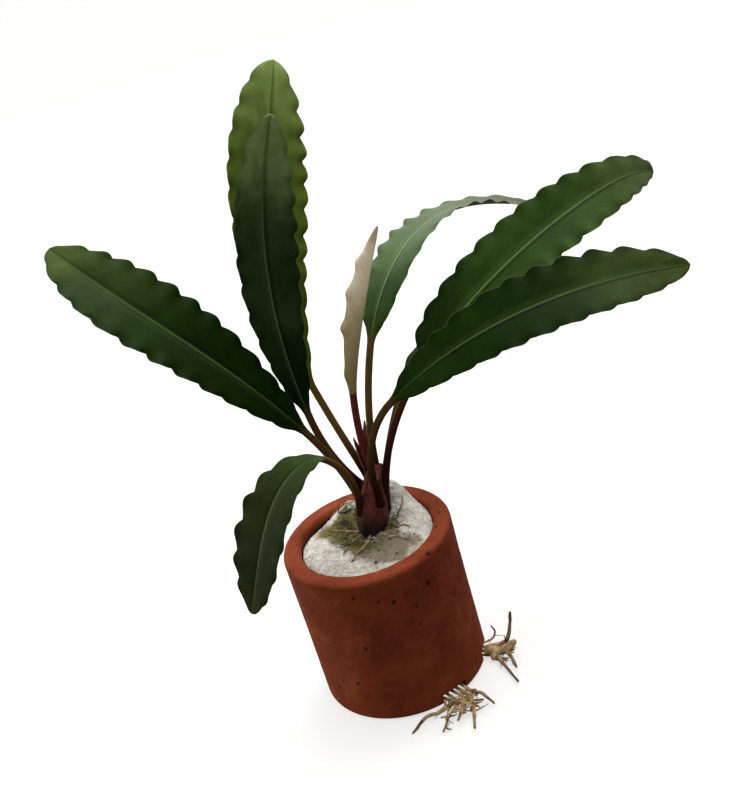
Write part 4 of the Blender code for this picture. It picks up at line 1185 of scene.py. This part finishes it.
# %% Root routes
def smooth_route(points, spacing):
    """Points about this far apart on a smooth curve through the route's own points."""
    points = np.asarray(points, float)
    padded = np.concatenate([[2 * points[0] - points[1]], points, [2 * points[-1] - points[-2]]])
    route = []
    for a, b, c, d in zip(padded, padded[1:], padded[2:], padded[3:]):
        count = max(int(np.linalg.norm(c - b) / spacing + 0.5), 1)
        t = (np.arange(count) / count)[:, None]
        square, cube = 2 * a - 5 * b + 4 * c - d, 3 * b - a - 3 * c + d
        route.append((2 * b + (c - a) * t + square * t**2 + cube * t**3) / 2)
    return np.concatenate(route + [points[-1:]])


print("a smooth route of", len(smooth_route([(0, 0, 0), (0, 0, 0.01)], 0.001)), "points")

# %% Where each root goes
ROOT_RADIUS, LANE, TUNNEL_HEIGHT = 0.00055, 0.00155, 0.0110
FRONT, RIGHT = radians(-64), radians(-17)
# side, way round the rhizome, lane, then places outside:
# beyond the wall, left of the lane, lift off the floor
DRAIN_ROOTS = {
    "front_root_1": (FRONT, -130, -2, ((0.0013, 0.0004, 0.00045), (0.0017, -0.0043, 0.00065),
                                       (0.0009, -0.0079, 0.00105), (0.0020, -0.0135, 0.00025))),
    "front_root_2": (FRONT, -107, -1, ((0.0026, 0.0, 0.00045), (0.0049, -0.0038, 0.00165),
                                       (0.0079, -0.0095, 0.00035))),
    "front_root_3": (FRONT, -85, 0, ((0.0027, 0.0002, 0.00085), (0.0058, -0.0022, 0.00225),
                                     (0.0082, -0.0063, 0.00065))),
    "front_root_4": (FRONT, -57, 1, ((0.0030, 0.0, 0.00065), (0.0076, -0.0020, 0.00045),
                                     (0.0134, -0.0066, 0.00025))),
    "front_root_5": (FRONT, -38, 2, ((0.0031, 0.0002, 0.00065), (0.0064, 0.0006, 0.00165),
                                     (0.0108, 0.0009, 0.00035))),
    "right_root_1": (RIGHT, -18, -1.5, ((0.0023, -0.0010, 0.00065), (0.0056, -0.0054, 0.00045),
                                        (0.0093, -0.0122, 0.00035))),
    "right_root_2": (RIGHT, 0, -0.5, ((0.0035, -0.0009, 0.00105), (0.0066, -0.0033, 0.00145),
                                      (0.0087, -0.0081, 0.00035))),
    "right_root_3": (RIGHT, 27, 0.5, ((0.0040, -0.0006, 0.00145), (0.0070, -0.0009, 0.00385),
                                      (0.0091, -0.0001, 0.01145))),
    "right_root_4": (RIGHT, 71, 1.5, ((0.0017, 0.0009, 0.00085), (0.0030, 0.0013, 0.00285),
                                      (0.0024, 0.0009, 0.00565))),
}
rhizome_foot = to_world([[0, 0, -0.0125]])[0]
print(len(DRAIN_ROOTS), "roots leave through the drains")


# %% Route of one root
def drain_route(side, turn, lane, outside):
    """The route of one root: down the well, through the wool and the slot, and out along the groove."""
    out = np.array([cos(side), sin(side), 0])
    aside = np.array([-out[1], out[0], 0])
    up_z = np.array([0, 0, 1.0])
    shift = aside * lane * LANE
    way = np.array([cos(radians(turn)), sin(radians(turn)), 0])
    hang = rhizome_foot * [1, 1, 0] + way * (RHIZOME_RADIUS + 0.0004 + ROOT_RADIUS + 0.0002)
    over = out * (DRAIN_INNER + 0.0012) + shift
    slant = (over - hang) / np.linalg.norm(over - hang)
    level = ROOT_RADIUS + 0.0005
    route = [
        hang + up_z * (rhizome_foot[2] + 0.0012), hang + up_z * (POT_FLOOR + TUNNEL_HEIGHT + 0.0050),
        hang + up_z * (POT_FLOOR + TUNNEL_HEIGHT + 0.0015),
        hang + slant * 0.0036 + up_z * (POT_FLOOR + 0.0060),
        over + up_z * (POT_FLOOR + 0.0012),
        out * (DRAIN_OUTER - 0.0012) + shift + up_z * (POT_FLOOR - 0.0022),
        out * (DRAIN_OUTER + 0.0020) + shift + up_z * (level + 0.0003),
        out * (POT_RADIUS - 0.0020) + shift + up_z * level,
    ]
    for beyond, left, lift in outside:
        route.append(out * (POT_RADIUS + beyond) + shift + aside * left + up_z * (ROOT_RADIUS + lift))
    return np.array(route)


def free_stretch(name, gap):
    """The stretch of a root that lies outside the pot, from this gap beyond its wall."""
    route = smooth_route(drain_route(*DRAIN_ROOTS[name]), 0.0004)
    return route[np.hypot(route[:, 0], route[:, 1]) > POT_RADIUS + gap]


def clear_of_wall(path):
    """The same path, pushed out wherever it would cross the pot's wall."""
    reach = np.hypot(path[:, 0], path[:, 1])
    path[:, :2] *= 1 + (np.maximum(POT_RADIUS + 0.0004 - reach, 0) / reach)[:, None]
    return path


print("free stretch of the first root:", len(free_stretch("front_root_1", 0.0006)), "points")

# %% Root finish
root_skin, root_tree, root_shader = new_material("old_root", Specular_IOR_Level=0.15)
root_look = use_group(root_tree, mottle, Place=place_of(root_tree), Patches=430.0, Grain=3000.0,
                      Dark=(0.090, 0.042, 0.015), Middle=(0.56, 0.37, 0.175), Light=(0.95, 0.85, 0.62))
tip_share = math(root_tree, "MULTIPLY", ramp(root_tree, read(root_tree, "tip"), 0.86, 1.0), 0.7)
root_colour = blend(root_tree, tip_share, root_look["Color"], (0.085, 0.045, 0.022))
dark_share = math(root_tree, "MULTIPLY", read(root_tree, "dark"), 0.8)
root_colour = blend(root_tree, dark_share, root_colour, (0.030, 0.018, 0.010))
root_tree.links.new(root_colour, root_shader.inputs["Base Color"])
root_rough = math(root_tree, "SUBTRACT", 0.85, math(root_tree, "MULTIPLY", root_look["Patch"], 0.3))
root_tree.links.new(root_rough, root_shader.inputs["Roughness"])
bump(root_tree, root_shader, root_look["Height"], 0.00022, 0.9)
print("root finish:", len(root_tree.nodes), "nodes")


# %% Roots that leave the pot
def knobbly(route, radius, tip_share, seed, kink=0.00012):
    """A root's path and radii: it wanders a little, and swells and pinches along its way."""
    share = np.linspace(0, 1, len(route))
    wander = np.stack([lumps(route, 0.0016, seed + k) for k in (0.1, 0.2, 0.3)], -1)
    loose = smooth(0.05, 0.3, share)[:, None]
    path = route + kink * wander * loose
    swell = 1 + 0.22 * lumps(route, 0.0013, seed + 0.4) + 0.12 * lumps(route, 0.0005, seed + 0.5)
    return path, radius * swell * (1 - (1 - tip_share) * share**3), share


def add_root(name, route, radius, tip_share, seed, nodes, dark=0.0, stout=1.0, sides=14):
    """One knobbly root that stands for its solid one."""
    path, radii, share = knobbly(route, radius, tip_share, seed)
    free = smooth(POT_RADIUS - 0.0002, POT_RADIUS + 0.0014, np.hypot(path[:, 0], path[:, 1]))
    radii *= 1 + (stout - 1) * free
    radii[-1] *= 0.45
    path[:, 2] = np.maximum(path[:, 2], radii + 0.00004)
    points, faces = tubes(path[None], radii[None], sides)
    return add_piece(name, points, faces, root_skin, nodes,
                     {"tip": np.repeat(share, sides), "dark": np.full(len(points), dark)})


ROOT_STOUTNESS = {"front_root_1": 1.5, "front_root_4": 1.5, "front_root_5": 1.4,
                  "right_root_1": 1.25, "right_root_2": 1.8, "right_root_3": 1.6, "right_root_4": 0.9}
DARK_ROOTS = {"right_root_1": 0.75}
for number, (name, places) in enumerate(DRAIN_ROOTS.items()):
    route = smooth_route(drain_route(*places), 0.0004)
    add_root(name + "_skin", route, ROOT_RADIUS * 0.98, 0.40, 30.0 + number, [name],
             DARK_ROOTS.get(name, 0.0), ROOT_STOUTNESS.get(name, 1.2))
print(len(DRAIN_ROOTS), "roots made")

# %% Roots on the wool
# way round, reach and bend of each root, from the crown
SURFACE_ROOTS = {"surface_root_1": (-146, 0.0105, 14), "surface_root_2": (-108, 0.0120, -12),
                 "surface_root_3": (-66, 0.0095, 12), "surface_root_4": (-24, 0.0075, -16),
                 "surface_root_5": (168, 0.0080, -18)}
for number, (name, (turn_way, reach_out, curl_way)) in enumerate(SURFACE_ROOTS.items()):
    share = np.linspace(-0.15, 1, 44)
    drift = 0.10 * lumps(np.c_[share, 0 * share, 0 * share], 0.25, number)
    a = np.radians(turn_way + curl_way * share) + drift
    r = RHIZOME_RADIUS + 0.0015 + reach_out * share
    x, y = CROWN[0] + r * np.cos(a), CROWN[1] + r * np.sin(a)
    route = np.stack([x, y, wool_level(x, y) + 0.00105], -1)
    add_root(name + "_skin", route, 0.00040, 0.40, 50.0 + number, [name], 0.55)
print(len(SURFACE_ROOTS), "roots on the wool")

# %% Stub, knot and nub
# points in millimetres, then radius and the tip's share of it
THICK_BITS = {
    "root_stub": (((21.3, -8.2, 1.5), (23.6, -9.2, 1.6), (25.4, -10.2, 1.7), (27.0, -10.8, 2.3)),
                  1.25, 0.75),
    "root_knot": (((26.9, -10.7, 2.0), (28.0, -11.0, 3.2), (28.7, -11.1, 4.0), (28.9, -10.7, 4.5)),
                  1.15, 0.9),
    "root_nub": (((22.5, -10.6, 1.0), (23.9, -11.8, 0.9), (24.6, -13.0, 0.8)), 0.85, 0.7),
}
for number, (name, (route, radius, tip_share)) in enumerate(THICK_BITS.items()):
    route = smooth_route(np.array(route) / 1000, 0.00022)
    add_root(name, route, radius / 1000, tip_share, 70.0 + number, (), 0.0, 1.0, 22)
print(len(THICK_BITS), "thick bits")

# %% Matted web
# how far along each root the strands start, and how many there are
WEB = (("front_root_2", 0.9, 18), ("front_root_3", 0.85, 30), ("front_root_4", 0.60, 30),
       ("front_root_5", 0.35, 5), ("front_root_1", 0.35, 12), ("right_root_2", 0.6, 14),
       ("right_root_1", 0.4, 10))
web_paths, web_radii = [], []
for name, reach_far, count in WEB:
    free = free_stretch(name, 0.0004)
    for _ in range(count):
        start = free[int(rng.uniform(0.12, reach_far) * (len(free) - 1))]
        heading = FRONT + rng.normal(0, 1.3) if "front" in name else radians(-35) + rng.normal(0, 1.0)
        steps = np.linspace(0, 1, 12)[:, None]
        ahead = np.array([cos(heading), sin(heading), rng.uniform(-0.1, 0.5)])
        bend = rng.normal(0, 0.5, 3) * [1, 1, 0.4]
        reach = rng.uniform(0.0009, 0.0028)
        path = start + ahead * reach * steps + bend * reach * steps**2
        radii = rng.uniform(0.00016, 0.00040) * (1 - 0.5 * steps[:, 0] ** 2)
        path[:, 2] = np.clip(path[:, 2] * 0.9, radii + 0.00002, 0.0034)
        web_paths.append(clear_of_wall(path))
        web_radii.append(radii)
points, faces = tubes(np.array(web_paths), np.array(web_radii), 8)
points = points + 0.00006 * lumps(points, 0.0005, 81)[:, None]
add_piece("matted_web", points, faces, root_skin, (),
          {"tip": np.zeros(len(points)), "dark": np.repeat(rng.uniform(0, 1, len(web_paths)) ** 3, 96)})
print(len(web_paths), "strands in the web")

# %% Rootlets
fine_paths, fine_radii = [], []
for name in DRAIN_ROOTS:
    free = free_stretch(name, 0.0006)
    for _ in range(5):
        start = free[rng.integers(0, len(free) // 2 + 1)]
        way = rng.normal(0, 1, 3) * [1, 1, 0.4]
        way /= np.linalg.norm(way)
        reach = rng.uniform(0.0007, 0.0018)
        steps = np.linspace(0, 1, 9)[:, None]
        path = start + way * reach * steps + rng.normal(0, 0.7, 3) * reach * steps**2
        path[:, 2] = np.clip(path[:, 2], 0.00016, None)
        fine_paths.append(clear_of_wall(path))
        fine_radii.append(rng.uniform(0.00009, 0.00016) * np.linspace(1, 0.45, 9))
points, faces = tubes(np.array(fine_paths), np.array(fine_radii), 5)
add_piece("rootlets", points, faces, root_skin, (),
          {"tip": np.tile(np.repeat(np.linspace(0, 0.9, 9), 5), len(fine_paths)),
           "dark": np.repeat(rng.uniform(0, 0.5, len(fine_paths)), 45)})
print(len(fine_paths), "rootlets")
